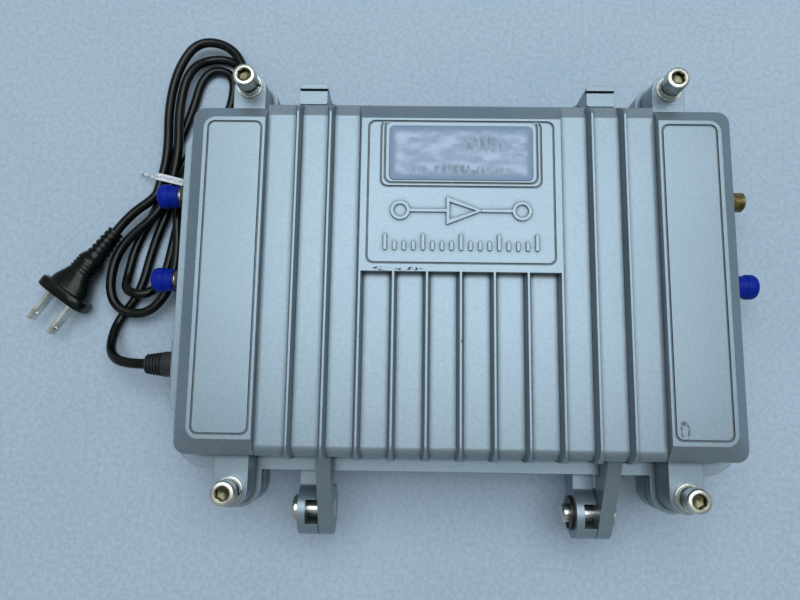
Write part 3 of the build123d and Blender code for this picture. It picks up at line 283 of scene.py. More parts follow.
hank_waist = (-143.8, 58.6)
hank_heading = math.radians(79.14)
layer_low = cord_radius + 0.05
layer_step = 5.5
layer_high = layer_low + layer_step
tie_room = 0.6
tie_gap = 0.3
waist_lift = tie_room + tie_gap
waist_step = 5.7


def hank_point(along, across, z):
    """A point along the hank and across it, in millimetres."""
    ahead = Vector((math.cos(hank_heading), math.sin(hank_heading), 0))
    sideways = Vector((ahead.y, -ahead.x, 0))
    return Vector((*hank_waist, z)) + ahead * along + sideways * across


def hank_direction(turn):
    return Vector((math.cos(hank_heading + turn), math.sin(hank_heading + turn), 0))


print("the hank is tied at", hank_waist)

# %% [markdown]
# Each turn of the hank is a loop above the waist and a loop below it. The turns
# differ in size and fan out to the left, because nothing ties their ends. All
# points could be typed one by one, but the turns follow a rule: each is a step
# wider than the last. So two functions lay out the places that the cord passes,
# each with its heading, and a short table says in which column and layer every
# turn crosses the waist.

# %% Places along the hank
UP, LEFT, DOWN, RIGHT = 0, math.pi / 2, math.pi, -math.pi / 2

hank_start = (-44, -3.5)
hank_end = (-12, -8.5)
upper_sides = 55
upper_right, upper_right_fan = 17.4, 7.2
upper_left, upper_left_fan = -1.6, -5.6
upper_ends = ((67, 8.5), (73.5, 9.5), (79.5, 3))
lower_left, lower_right, lower_fan = (-46, -12.4), (-43, 6.4), 6
lower_ends = ((-60, -4), (-70, -4))
turns = ((0, layer_low, -1, layer_low), (1, layer_low, 0, layer_high), (1, layer_high, -1, layer_high))

hank_places = [(hank_point(*hank_start, layer_low), hank_direction(UP))]


def pass_by(along, across, z, heading):
    hank_places.append((hank_point(along, across, z), hank_direction(heading)))


def cross_waist(column, z, heading):
    pass_by(0, column * waist_step, z + waist_lift, heading)


def upper_loop(turn, column, up_z, down_z):
    pass_by(upper_sides, upper_right + upper_right_fan * column, up_z, UP)
    pass_by(*upper_ends[turn], up_z, LEFT)
    pass_by(upper_sides, upper_left + upper_left_fan * turn, down_z, DOWN)


def lower_loop(turn, z):
    fan = lower_fan * turn
    pass_by(lower_left[0] - fan, lower_left[1] - fan, z, DOWN)
    pass_by(*lower_ends[turn], layer_high, RIGHT)
    pass_by(lower_right[0] - fan, lower_right[1] + fan, z, UP)


for turn, (up_column, up_z, down_column, down_z) in enumerate(turns):
    cross_waist(up_column, up_z, UP)
    upper_loop(turn, up_column, up_z, down_z)
    cross_waist(down_column, down_z, DOWN)
    if turn < len(turns) - 1:
        lower_loop(turn, down_z)

hank_exit = hank_point(*hank_end, plug_axis_z)
hank_places.append((hank_exit, (Vector((*tail_corner, plug_axis_z)) - hank_exit).normalized()))
print("hank passes", len(hank_places), "places")

# %% [markdown]
# A cord never shows a corner, so it is drawn as one smooth curve. A Bezier curve
# would pass through its points, but its handles can make it bulge. A quadratic
# NURBS curve keeps close to its control polygon and touches the middle of each of
# its inner sides. So two control points between neighbouring places, one ahead of
# the first and one behind the second, lead it past each place along its heading.

# %% The cord's route
def steer(place, next_place):
    """Control points that leave one place and reach the next along their headings."""
    (here, way), (there, next_way) = place, next_place
    chord = there - here
    spread = 2 * (1 - way.dot(next_way))
    reach = chord.dot(way + next_way)
    if spread < 1e-9:
        handle = chord.length_squared / (2 * reach)
    else:
        handle = (math.sqrt(reach * reach + spread * chord.length_squared) - reach) / spread
    return [here + way * handle, there - next_way * handle]


start, start_way = hank_places[0]
meet = start - start_way * 2 * cord_radius
route = [
    Vector((gland_end_x, gland_y, port_z)),
    Vector((-156.1, gland_y, port_z)),
    Vector((-165.0, -31.2, 16.2)),
    Vector((-169.0, -23.0, 8.2)),
    Vector((-168.5, -12.2, layer_low)),
    meet - start_way * 10,
]
for place, next_place in zip(hank_places, hank_places[1:]):
    route += steer(place, next_place)
route += [Vector((*tail_corner, plug_axis_z)), Vector((*plug_entry, plug_axis_z))]
print("cord has", len(route), "control points")

# %% [markdown]
# The curve becomes a cord by its bevel, a circle that runs along it. The bevel is
# one metre deep, and the radius of each point scales it down to the cord's own. A
# tube of faces would look the same, but a curve can be laid anew by its points.

# %% The mains cord
cord_line = bpy.data.curves.new("mains_cord", "CURVE")
cord_line.dimensions = "3D"
cord_line.bevel_depth = 1.0
cord_line.bevel_resolution = 6
cord_line.resolution_u = 12
cord_line.use_fill_caps = True
spline = cord_line.splines.new("NURBS")
spline.points.add(len(route) - 1)
for point, place in zip(spline.points, route):
    point.co = (*(place * MM), 1)
    point.radius = cord_radius * MM
spline.order_u = 3
spline.use_endpoint_u = True
mains_cord = bpy.data.objects.new("mains_cord", cord_line)
bpy.context.scene.collection.objects.link(mains_cord)
print("cord is", 2 * cord_radius, "mm thick")

# %% [markdown]
# The cord's sheath and the plug are soft black vinyl, the plug a little duller
# than the sheath. One flat black would be the simplest way, but it looks like a
# hole. So the colour and the roughness waver in patches, and a fine relief gives
# the grain that the extruder or the mould leaves. The shine is set low, because
# vinyl that has been handled is never as bright as lacquer.

# %% Black vinyl of the cord and the plug
vinyl_dark = (0.0012, 0.0020, 0.0020, 1)
vinyl_light = (0.004, 0.007, 0.007, 1)


def vinyl(name, roughness, grain):
    finish = Finish(name, roughness=roughness)
    patch = finish.noise(0.006, detail=3.0)
    finish.put("Base Color", patch.step(0.35, 0.7).blend(vinyl_dark, vinyl_light))
    finish.put("Roughness", patch * 0.16 + (roughness - 0.08))
    finish.put("Specular IOR Level", 0.25)
    finish.relief(finish.noise(grain, seed=5.0), 0.00003)
    return finish


sheath_vinyl = vinyl("sheath_vinyl", 0.19, 0.0007)
moulded_vinyl = vinyl("moulded_vinyl", 0.20, 0.0012)
mains_cord.data.materials.append(sheath_vinyl.material)
print("vinyl finishes:", sheath_vinyl.material.name, moulded_vinyl.material.name)

# %% [markdown]
# Moulded grips are neither round nor square, but something between. A circle could
# be scaled to fit, but its sides would stay too round. A superellipse has one more
# number, its power: 2 gives an ellipse, and a higher one goes towards a rectangle.
# As a ring function it gives a ring's radius at each angle round the axis.

# %% Squarish ovals
def oval(side, up, power=2.6):
    """A ring function: a squarish oval, from half its width and half its height."""
    return lambda angle: ((abs(math.cos(angle)) / side) ** power
                          + (abs(math.sin(angle)) / up) ** power) ** (-1 / power)


print("an oval of half sizes 2 and 1 mm reaches", round(oval(2, 1)(math.pi / 4), 2), "mm at 45 degrees")

# %% [markdown]
# The plug is one moulding: a ribbed sleeve where the cord enters, a grooved grip,
# a bell that swells, and a flat face with a rolled edge that carries the two
# blades. It could be sculpted, but a mould maker thinks of it in sections, and
# so does this cell: ovals of different sizes, stacked along the plug.

# %% Sections of the plug
sleeve_ribs, sleeve_first, sleeve_pitch, sleeve_swell = 5, 1.4, 2.9, 0.22
grip_grooves, grip_first, grip_pitch, grip_swell = 4, 20.4, 1.9, 0.1

sleeve = [(0, 3.3), (0.3, 4.0)]
for rib in range(sleeve_ribs):
    rib_start = sleeve_first + sleeve_pitch * rib
    swell = sleeve_swell * rib
    sleeve += [(rib_start, 4.1 + swell), (rib_start + 0.3, 3.6 + swell)]
    sleeve += [(rib_start + 1.0, 3.6 + swell), (rib_start + 1.3, 4.2 + swell)]

grip = [(16.4, oval(5.2, 5.2, 2)), (17.6, oval(5.8, 5.9, 2.2)), (19.2, oval(6.3, 6.5, 2.4))]
for groove in range(grip_grooves):
    groove_start = grip_first + grip_pitch * groove
    swell = grip_swell * groove
    grip += [(groove_start, oval(6.5 + swell, 6.9)), (groove_start + 0.3, oval(6.0 + swell, 6.9))]
    grip += [(groove_start + 0.9, oval(6.0 + swell, 6.9)), (groove_start + 1.2, oval(6.5 + swell, 6.95))]

bell = [(28.2, oval(7.1, 7.0)), (30.0, oval(7.9, 7.05)), (31.8, oval(8.9, 7.1)), (33.6, oval(9.8, 7.2)),
        (35.4, oval(10.4, 7.3)), (36.6, oval(10.5, 7.4)), (37.2, oval(10.7, 7.5))]
face = [(37.5, oval(12.2, 7.9, 3)), (37.9, oval(13.2, 8.2, 3.4)), (38.5, oval(13.5, 8.3, 3.6)),
        (42.2, oval(13.5, 8.3, 3.6)), (42.8, oval(13.2, 8.0, 3.6)), (43.0, oval(12.6, 7.5, 3.6))]
print("plug is", face[-1][0], "mm long")

# %% [markdown]
# The sections are stacked from the end of the cord, along the line on which it arrives. The piece rides on
# the base and takes the place of the frame's plain plug. Every piece that is modelled again also rides on a
# body and takes the place of a frame piece.

# %% The moulded plug
plug_way = Vector((plug_entry[0] - tail_corner[0], plug_entry[1] - tail_corner[1], 0)).normalized()
mains_plug = stacked("mains_plug", sleeve + grip + bell + face, (*plug_entry, plug_axis_z), plug_way,
                     moulded_vinyl, around=72)
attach(mains_plug, "base")
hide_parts("plug_body")
print("plug has", len(mains_plug.data.polygons), "faces")

# %% [markdown]
# A white twist tie holds the hank: a flat strip with a wire in it, wound twice
# round the waist, whose end sticks out to the left, twisted. A Curve modifier
# could bend a plane round the cords, but a strip is only a row of small rectangles
# that follow a line, so one helper draws both parts.

# %% A strip that follows a line
def strip(shape, line, broad_ways, width, thickness):
    """Rectangles along a line, each as broad as width along its own broad way."""
    loops = []
    last = len(line) - 1
    for step, point in enumerate(line):
        tangent = (line[min(step + 1, last)] - line[max(step - 1, 0)]).normalized()
        broad = broad_ways[step]
        side = (broad - tangent * broad.dot(tangent)).normalized() * width / 2
        up = tangent.cross(side).normalized() * thickness / 2
        loops.append([shape.verts.new((point + side * right + up * over) * MM)
                      for right, over in ((-1, -1), (1, -1), (1, 1), (-1, 1))])
    for low, high in zip(loops, loops[1:]):
        for corner in range(4):
            after = (corner + 1) % 4
            shape.faces.new((low[corner], low[after], high[after], high[corner]))
    shape.faces.new(loops[0])
    shape.faces.new(loops[-1])


tie_shape = bmesh.new()
strip_thickness = 0.4
print("the tie is", strip_thickness, "mm thick")

# %% [markdown]
# The winding follows a squarish oval round the six runs of cord at the waist,
# and creeps a little along the hank so that its two turns lie side by side. Two
# separate rings would be simpler, but a real tie is one strip.

# %% Two turns round the waist
tie_half = waist_step + cord_radius + tie_room
tie_low_z = 0.45
tie_high_z = 11.8
tie_middle_z = (tie_low_z + tie_high_z) / 2
tie_outline = oval(tie_half, tie_high_z - tie_middle_z, 5)
tie_turns = 2
steps_per_turn = 40
winding_length = 3.8
winding_width = 1.7

winding = []
winding_steps = tie_turns * steps_per_turn
for step in range(winding_steps + 1):
    angle = math.pi + FULL_TURN * step / steps_per_turn
    reach = tie_outline(angle)
    along = winding_length * (step / winding_steps - 0.5)
    winding.append(hank_point(along, reach * math.cos(angle), tie_middle_z + reach * math.sin(angle)))
strip(tie_shape, winding, [hank_direction(UP)] * len(winding), winding_width, strip_thickness)
print("tie has", tie_turns, "turns")

# %% [markdown]
# The tail of the tie is straight, but its flat side turns one and a half times on the way, as a tie does
# that was closed by twisting it. The paper over its wire is creased. Folds could be modelled, but they are
# so small that a fine noise shows them: in the relief, and in the colour as painted shade that turns the
# paper grey in its folds.

# %% The twisted tail and its paper
tail_start = hank_point(0.6, -tie_half, 6.6)
tail_end = hank_point(3.5, -tie_half - 12.0, 2.2)
tail_steps = 36
tail_twist = 3 * math.pi
tail_width = 1.5

tail_line = [tail_start.lerp(tail_end, step / tail_steps) for step in range(tail_steps + 1)]
tail_side = (tail_end - tail_start).cross(Vector((0, 0, 1))).normalized()
tail_up = tail_side.cross(tail_end - tail_start).normalized()
tail_ways = []
for step in range(tail_steps + 1):
    twist = tail_twist * step / tail_steps
    tail_ways.append(tail_side * math.cos(twist) + tail_up * math.sin(twist))
strip(tie_shape, tail_line, tail_ways, tail_width, strip_thickness)

paper_crease_shade = (0.50, 0.55, 0.62, 1)
paper_white = (0.78, 0.82, 0.88, 1)
tie_paper = Finish("tie_paper", roughness=0.5)
crease_relief_and_shade = tie_paper.noise(0.0012, detail=3.0)
# Painted shade: where this noise is low the paper turns grey, as shade in its folds.
tie_paper.put("Base Color", crease_relief_and_shade.step(0.3, 0.7).blend(paper_crease_shade, paper_white))
tie_paper.relief(crease_relief_and_shade, 0.0001)

tie_ribbon = show("tie_ribbon", tie_shape, tie_paper, sharp_angle=50)
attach(tie_ribbon, "base")
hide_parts("twist_tie")
print("tie has", len(tie_ribbon.data.polygons), "faces")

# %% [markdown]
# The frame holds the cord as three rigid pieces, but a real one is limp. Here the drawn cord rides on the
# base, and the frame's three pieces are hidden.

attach(mains_cord, "base")
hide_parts("cord_lead", "cord_hank", "cord_tail")
route[0] * MM

# %% [markdown]
# Marks and stains lie at places of their own. A painted mask could hold them, but
# it would need an image and an unwrapped lid. An oval spot needs only where it
# lies and how far it reaches, so these two functions draw each of them.

# %% Spots on a surface
def near(finish, x, y, half_x, half_y):
    """How far outside an oval spot a point is: below 1 inside it, above 1 outside."""
    across = (finish.x - x) / half_x
    along = (finish.y - y) / half_y
    return (across * across + along * along).root()


def spot(finish, x, y, half_x, half_y, full=0.8, gone=1.1):
    """1 in an oval spot and 0 away from it, with a soft edge."""
    return 1 - near(finish, x, y, half_x, half_y).step(full, gone)


print("spots have soft edges")

# %% [markdown]
# The castings are die-cast alloy under silver paint. A pure metal would mirror
# the room and a pure paint would look chalky. Flakes in the paint make it a bit
# of both, so the shader is two thirds metal, and the lamp draws a soft pool on
# the lid while the slopes go dark. The paint is a little uneven, and its edges
# are soft, which the shader rounds.

# %% Paint with flakes in it
silver_dark = (0.198, 0.256, 0.304, 1)
silver_light = (0.246, 0.310, 0.362, 1)

paint = Finish("silver_paint")
cloud = paint.noise(0.045, detail=3.0)
fleck = paint.noise(0.0012, detail=2.0, seed=3.0)
peel = paint.noise(0.0007, detail=2.0, seed=7.0)
shade = (cloud * 0.55 + fleck * 0.45).step(0.3, 0.7)
silver = shade.blend(silver_dark, silver_light)
paint.relief(peel + fleck * 0.5, 0.00003, edge=0.00028)
print("paint has clouds, flecks and peel")

# %% [markdown]
# Shade and some dirt settle where neither light nor a cloth reaches: along the roots of the fins and in the
# frame lines. The colour is darkened there, as painted shade that is partly dirt. It could be painted there
# by hand, but the ambient occlusion node finds such places by itself, because it measures how much of the
# sky a point sees within a short distance.

# %% Painted shade and dirt in the corners
shade_and_dirt_reach = 0.0022
shade_and_dirt_grey = (0.045, 0.055, 0.050, 1)

# Painted shade, partly dirt: a darker grey where the ambient occlusion node finds little sky.
shelter = paint.node("AmbientOcclusion", {"samples": 4, "only_local": True},
                     {"Distance": shade_and_dirt_reach}, output=1)
corner_shade_and_grime = (1 - shelter.step(0.40, 0.95)) * (paint.noise(0.008, seed=5.0) * 0.7 + 0.6)
silver = corner_shade_and_grime.blend(silver, shade_and_dirt_grey)
print("dirt lies within", round(shade_and_dirt_reach / MM, 1), "mm of a corner")

# %% [markdown]
# The castings have had knocks: dark specks all over, a chip on a fin, and a brown stain like a drop's ring
# on the right end panel. Two broken dark rows at the foot of the name block are painted shadow, the line of
# shade under its lower edge. Real dents would need a far finer mesh, so colour and dullness show them. The
# specks are the peaks of a noise, and the rest are spots at their own places, most of them broken up by a
# noise. The lid is one hollow casting, so the spots fade below the height of its outside.

# %% Specks, a chip, a painted shadow at the name block and a stain
mark_and_shadow_dark = (0.035, 0.035, 0.032, 1)
stain_brown = (0.075, 0.058, 0.035, 1)
outside_low, outside_high = 0.0655, 0.0665

outside = paint.z.step(outside_low, outside_high)
specks = paint.noise(0.0035, detail=1.0, seed=11.0).step(0.80, 0.82)
# Painted shadow: two broken dark rows along the foot of the name block, where the shade under its lower edge
# lies.
foot_shadow_grain = paint.noise(0.0016, detail=2.0, seed=17.0).step(0.50, 0.56)
left_foot_shadow = spot(paint, -0.0320, 0.0022, 0.0042, 0.0009)
right_foot_shadow = spot(paint, -0.0215, 0.0022, 0.0060, 0.0008)
chip = spot(paint, 0.0006, -0.0268, 0.0006, 0.0005)
marks_and_foot_shadow = specks.most((left_foot_shadow.most(right_foot_shadow) * foot_shadow_grain).most(chip) * outside)
silver = marks_and_foot_shadow.blend(silver, mark_and_shadow_dark)

drop = near(paint, 0.0872, -0.0608, 0.0015, 0.0030)
blot = spot(paint, 0.0866, -0.0580, 0.0011, 0.0009, full=0.5, gone=1.3)
drop_grain = paint.noise(0.0018, seed=23.0).step(0.35, 0.55)
stain = (1 - (drop - 1).abs().step(0.10, 0.45)) * drop_grain
silver = (stain.most(blot) * outside * 0.8).blend(silver, stain_brown)

paint.put("Base Color", silver)
paint.put("Metallic", 0.66 - marks_and_foot_shadow.most(corner_shade_and_grime * 0.8) * 0.55)
paint.put("Roughness", cloud * 0.10 + peel * 0.06 + marks_and_foot_shadow.most(corner_shade_and_grime) * 0.25 + 0.31)
dress(paint, "base_housing", "lid_cover")
print("castings are painted")

# %% [markdown]
# The label is a printed film that the sun has bleached to a pale field with
# cloudy stains, two smears where the ink ran, and a blue rim that fades inwards.
# The rim could be a frame of its own, but it has no hard edge. The distance from
# a point to the film's nearest edge draws it, and a noise makes it wander.

# %% Faded label
field_dark = (0.150, 0.230, 0.370, 1)
field_light = (0.350, 0.420, 0.600, 1)
scratch_grey = (0.16, 0.19, 0.26, 1)
ink_blue = (0.055, 0.090, 0.135, 1)
rim_blue = (0.070, 0.150, 0.270, 1)
rim_width = 0.0032
rim_wander = 0.0016

label_low, label_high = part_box("name_label")
film = Finish("faded_film", roughness=0.35, coat=0.3)
inset = (label_high.x - film.x.abs()).least((film.y - label_low.y).least(label_high.y - film.y))
wander = film.noise(0.004, detail=3.0) * rim_wander
rim = 1 - (inset - wander).step(0.0, rim_width)
haze = film.noise(0.007, detail=4.0, stretch=(1.0, 2.2, 1.0), seed=2.0)
field = haze.step(0.35, 0.70).blend(field_dark, field_light)
scratches = film.noise(0.0009, detail=2.0, stretch=(0.12, 1.6, 1.0), seed=9.0).step(0.66, 0.72)
field = (scratches * 0.5).blend(field, scratch_grey)
smear_grain = film.noise(0.0016, detail=2.0, stretch=(1.0, 0.4, 1.0), seed=13.0).step(0.40, 0.62)
upper_smear = spot(film, 0.0097, 0.0551, 0.0125, 0.0042, full=0.4, gone=1.2)
lower_smear = spot(film, -0.0005, 0.0441, 0.0255, 0.0024, full=0.4, gone=1.2)
field = (upper_smear.most(lower_smear) * smear_grain * 0.8).blend(field, ink_blue)
film.put("Base Color", rim.blend(field, rim_blue))
film.put("Roughness", haze * 0.25 + 0.25)
film.relief(film.noise(0.0012, seed=4.0), 0.00003, edge=0.0002)
dress(film, "name_label")
print("label is", round((label_high.x - label_low.x) / MM, 1), "mm wide")

# %% [markdown]
# Plated and plastic pieces need the same things in different amounts: a colour
# that wavers, a roughness that wavers with it, a grain, and soft edges. Writing
# each tree by itself would hide how alike they are, so one function writes such a
# finish, and each row after it names one. A metal gets its colour from what it
# mirrors, so it is set brighter than it looks.

# %% Plated, moulded and rubber finishes
def plain_finish(name, colour, roughness, metallic=0.0, grain=0.001, depth=0.00004, worn=0.75):
    finish = Finish(name, roughness=roughness, metallic=metallic)
    patch = finish.noise(grain * 5, detail=4.0)
    dark = tuple(part * worn for part in colour)
    finish.put("Base Color", patch.step(0.3, 0.7).blend((*dark, 1), (*colour, 1)))
    finish.put("Roughness", patch * 0.2 + (roughness - 0.1))
    finish.relief(finish.noise(grain, seed=5.0), depth, edge=0.0002)
    return finish


rubber = plain_finish("black_rubber", (0.018, 0.020, 0.022), 0.55)
zinc = plain_finish("zinc_plate", (0.72, 0.72, 0.66), 0.28, metallic=1.0, worn=0.6)
tarnish = plain_finish("tarnished_socket", (0.20, 0.19, 0.11), 0.35, metallic=1.0, worn=0.35)
steel = plain_finish("black_steel", (0.03, 0.03, 0.03), 0.4, metallic=0.5)
nickel = plain_finish("nickel_plate", (0.55, 0.55, 0.52), 0.32, metallic=1.0, worn=0.6)
gilt = plain_finish("worn_gilt", (0.42, 0.33, 0.15), 0.32, metallic=1.0, grain=0.0006, worn=0.5)
cap_vinyl = plain_finish("cap_vinyl", (0.001, 0.018, 0.320), 0.45, grain=0.0009, depth=0.00003)
cap_vinyl.put("Specular IOR Level", 0.12)
dress(rubber, "lid_gasket", "port_seals", "gland_nut")
dress(zinc, "flat_washers", "spring_washers", "hinge_pin_left", "hinge_pin_right", "board_screws",
      "plug_blades")
dress(steel, "hinge_clip", "heat_sink", "port_nuts")
dress(gilt, "port_contacts", "ground_screw")
print("metal, rubber and vinyl are ready")

# %% [markdown]
# Ports and screws carry threads. A thread could be a real helix swept along its
# axis, but its ends are hard to close. Here the ridge moves round the axis from
# ring to ring, which looks the same and keeps the piece one closed skin.

# %% A screw thread
def thread(low, high, radius, pitch, depth):
    """The rings of a screw thread between two distances."""
    rings_per_turn = 6
    rings = []
    count = round((high - low) / pitch * rings_per_turn)
    for step in range(count + 1):
        along = low + (high - low) * step / count

        def ridge(angle, along=along):
            return radius - depth * abs(2 * ((along / pitch - angle / FULL_TURN) % 1) - 1)

        rings.append((along, ridge))
    return rings


print("a thread of 5 mm at a pitch of 1 mm takes", len(thread(0, 5, 3, 1, 0.5)), "rings")

# %% [markdown]
# The ports are threaded barrels, 32 turns to the inch, that come out of the end
# walls: a flange inside the wall, a plain shank for the nut, and the thread. Three
# are nickel and the fourth is gilt. The frame has them as plain cylinders, which
# is enough to measure, but a thread is what the eye looks for on a coaxial port.
# A barrel is open, so its last ring joins its first one at the bore.

# %% Threaded ports
port_start = 123.0
port_length = 17.7
port_nut_end = 9.5
port_radius = 4.76
port_bore = 3.6
port_flange = 6.2
port_neck = port_radius - 0.4
port_thread_depth = 0.42
inch_thread = 25.4 / 32


def end_place(name, side, distance):
    """The point on the axis of a port or cap that is this far out on its side."""
    low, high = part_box(name)
    return side * distance, (low.y + high.y) / 2 / MM, port_z


def threaded_port(name, side, finish):
    barrel = [(0, port_bore), (0, port_flange), (2.5, port_flange), (2.5, port_radius),
              (port_nut_end, port_radius), (port_nut_end + 0.1, port_neck), (port_nut_end + 0.8, port_neck)]
    barrel += thread(port_nut_end + 0.9, port_length - 0.6, port_radius, inch_thread, port_thread_depth)
    barrel += [(port_length - 0.3, port_radius - 0.55), (port_length, port_radius - 0.85),
               (port_length, port_bore)]
    port = stacked(name + "_thread", barrel, end_place(name, side, port_start), (side, 0, 0), finish,
                   closed=True)
    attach(port, "base")
    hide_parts(name)


threaded_port("port_left_upper", -1, nickel)
threaded_port("port_left_lower", -1, nickel)
threaded_port("port_right_upper", 1, gilt)
threaded_port("port_right_lower", 1, nickel)
print("ports have a pitch of", round(inch_thread, 3), "mm")

# %% [markdown]
# Three ports wear dust caps of blue vinyl, pushed on: a thin neck with a fatter
# rounded head. A cap hides its port, so it could be one solid lump, but it comes
# off. So it rides on its own body while the port under it stays with the base,
# and its rings start inside, where a cap that is pulled off shows its hollow.

# %% Dust caps
cap_start = 134.1
cap_bore = 4.82
cap_bore_depth = 7.0
cap_neck = 5.3


def dust_cap(name, side):
    inside = [(cap_bore_depth, cap_bore), (0, cap_bore)]
    neck = [(0, cap_neck - 0.15), (0.2, cap_neck), (3.8, cap_neck)]
    head = [(4.3, 5.45), (4.6, 5.75), (5.0, 5.93), (5.7, 6.0), (7.3, 6.0), (8.3, 5.9), (9.1, 5.6),
            (9.8, 5.05), (10.25, 4.3), (10.5, 3.2), (10.6, 1.4)]
    cap = stacked(name + "_vinyl", inside + neck + head, end_place(name, side, cap_start), (side, 0, 0),
                  cap_vinyl)
    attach(cap, name)
    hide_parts(name)


dust_cap("dust_cap_left_upper", -1)
dust_cap("dust_cap_left_lower", -1)
dust_cap("dust_cap_right_lower", 1)
print("dust caps start", cap_start, "mm from the middle")

# %% [markdown]
# The mains cord leaves through a rubber gland whose ribs let it bend. It is
# turned like the caps: a shank in the wall, a collar, then ribs that get smaller
# towards the cord. An Array modifier could repeat one rib, but not make each one
# smaller, so the ribs are a loop over rings.

# %% Ribbed gland
gland_start_x = -121
rib_count = 5
first_rib = 16.0
rib_pitch = 1.55
rib_taper = 0.22

gland_rings = [(0, 2.6), (0, 5.0), (9.7, 5.0), (9.7, 5.8), (9.9, 6.0), (15.4, 6.0), (15.8, 5.8)]
for rib in range(rib_count):
    rib_start = first_rib + rib_pitch * rib
    shrink = rib_taper * rib
    gland_rings += [(rib_start, 4.9 - shrink), (rib_start + 0.5, 4.7 - shrink)]
    gland_rings += [(rib_start + 0.7, 5.6 - shrink), (rib_start + 1.2, 5.6 - shrink)]
    gland_rings += [(rib_start + 1.4, 5.3 - shrink)]
gland_rings += [(23.9, 4.3), (23.9, 2.5)]
gland = stacked("ribbed_gland", gland_rings, (gland_start_x, gland_y, port_z), (-1, 0, 0), rubber)
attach(gland, "base")
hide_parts("cable_gland")
print("gland has", rib_count, "ribs")

# %% [markdown]
# A socket screw's head has fine upright teeth round it, for fingers, and a
# six-sided hole for a key. Teeth and hole could be cut into a cylinder one after
# the other, but each is one line of trigonometry as a ring function, and a stack
# of such rings has no cuts that can go wrong.

# %% Knurls and hexagons
def knurl(radius, depth, teeth):
    """A ring function: small upright teeth."""
    return lambda angle: radius - depth * (0.5 + 0.5 * math.cos(teeth * angle))


def hexagon(flats):
    """A ring function: a hexagon of this width across its flats."""
    return lambda angle: flats / 2 / math.cos((angle + math.pi / 6) % (math.pi / 3) - math.pi / 6)


print("a socket of 5 mm is", round(2 * hexagon(5)(math.pi / 6), 2), "mm across its corners")

# %% [markdown]
# The lid is held by four socket screws, backed out so far that they stand above
# their lugs. Each head has a fine knurl, a soft rim and a six-sided socket that
# has tarnished to brass inside. The socket could be cut with a Boolean modifier,
# but the stack of rings need only turn back into the head and become hexagons.
# Faces in the socket get the second finish by where they lie. Each screw rides on
# its own body.

# %% Socket screws
bolt_tip_z = 31.5
bolt_length = 30.0
bolt_radius = 3.0
bolt_pitch = 1.0
bolt_thread_end = 18.0
bolt_thread_depth = 0.5
head_radius = 5.0
head_gap = 0.04
knurl_depth = 0.22
knurl_teeth = 40
socket_flats = 5.0
socket_low = 32.0
socket_reach = 2.95


def socket_screw(number):
    low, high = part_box(f"cover_bolt_{number}")
    tip = Vector((*((low + high) / 2 / MM).xy, bolt_tip_z))
    knurled = knurl(head_radius, knurl_depth, knurl_teeth)
    head_start = bolt_length + head_gap
    shank = [(0, 2.2), (0.5, 2.6)]
    shank += thread(0.6, bolt_thread_end, bolt_radius, bolt_pitch, bolt_thread_depth)
    shank += [(bolt_thread_end + 0.3, bolt_radius), (head_start, bolt_radius)]
    head = [(head_start, 4.7), (30.3, 4.95), (30.8, knurled), (34.6, knurled), (34.9, 4.95), (35.5, 4.85),
            (35.9, 4.5), (36.0, 4.2), (36.0, 3.25), (35.7, 2.95)]
    socket = [(35.6, hexagon(socket_flats)), (32.9, hexagon(socket_flats)), (32.8, 2.2), (32.3, 0.6)]
    screw = stacked(f"socket_screw_{number}", shank + head + socket, tip, (0, 0, 1), zinc, around=120)
    screw.data.materials.append(tarnish.material)
    for face in screw.data.polygons:
        middle = Vector(face.center) / MM - tip
        if middle.z > socket_low and math.hypot(middle.x, middle.y) < socket_reach:
            face.material_index = 1
    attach(screw, f"cover_bolt_{number}")
    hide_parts(f"cover_bolt_{number}")


for number in range(1, 5):
    socket_screw(number)
print("four socket screws")

# %% [markdown]
# Inside lie two boards, green lacquer over copper tracks that run straight. Every
# track could be modelled, but they only show when the lid is open. A brick
# pattern with thin joints draws the tracks, a cell pattern draws the solder
# points, and a coarse noise leaves patches of plain copper ground.

# %% Circuit boards
lacquer_green = (0.010, 0.085, 0.035, 1)
track_green = (0.035, 0.190, 0.075, 1)
solder_grey = (0.55, 0.56, 0.54, 1)

board = Finish("board_lacquer", roughness=0.3, coat=0.4)
tracks = board.node("TexBrick", {"offset": 0.37, "squash": 0.6, "squash_frequency": 3},
                    {"Vector": board.place, "Scale": 170.0, "Mortar Size": 0.055, "Mortar Smooth": 0.1,
                     "Brick Width": 1.1, "Row Height": 0.42}, output=1)
cells = board.node("TexVoronoi", {"feature": "F1"}, {"Vector": board.place, "Scale": 230.0})
solder = 1 - cells.step(0.16, 0.22)
ground = board.noise(0.012, detail=2.0).step(0.5, 0.54)
green = tracks.most(ground * 0.5).blend(lacquer_green, track_green)
board.put("Base Color", solder.blend(green, solder_grey))
board.put("Metallic", solder * 0.9)
board.put("Roughness", solder * 0.1 + 0.28)
board.relief(tracks * 0.3 + solder, 0.0002)
dress(board, "rf_board", "power_board")
print("boards are lacquered")

# %% [markdown]
# Wound and laminated pieces show their layers: sheets in the transformer core,
# tape on its winding, wire on the coils. Modelled one by one, they would make
# heavy meshes, so a sine wave along one axis draws them in colour and in relief.
# The same wave, much slower, serves the sleeves of the leads and capacitors.

# %% Layers of sheet and wire
def layered_finish(name, dark, light, axis, pitch, roughness, metallic=0.0, depth=0.0002):
    finish = Finish(name, roughness=roughness, metallic=metallic)
    position = {"x": finish.x, "y": finish.y, "z": finish.z}[axis]
    wave = (position * (FULL_TURN / pitch)).sine() * 0.5 + 0.5
    patch = finish.noise(0.004, detail=2.0)
    finish.put("Base Color", (wave * 0.7 + patch * 0.3).blend((*dark, 1), (*light, 1)))
    finish.put("Roughness", patch * 0.2 + (roughness - 0.1))
    finish.relief(wave, depth, edge=0.0003)
    return finish


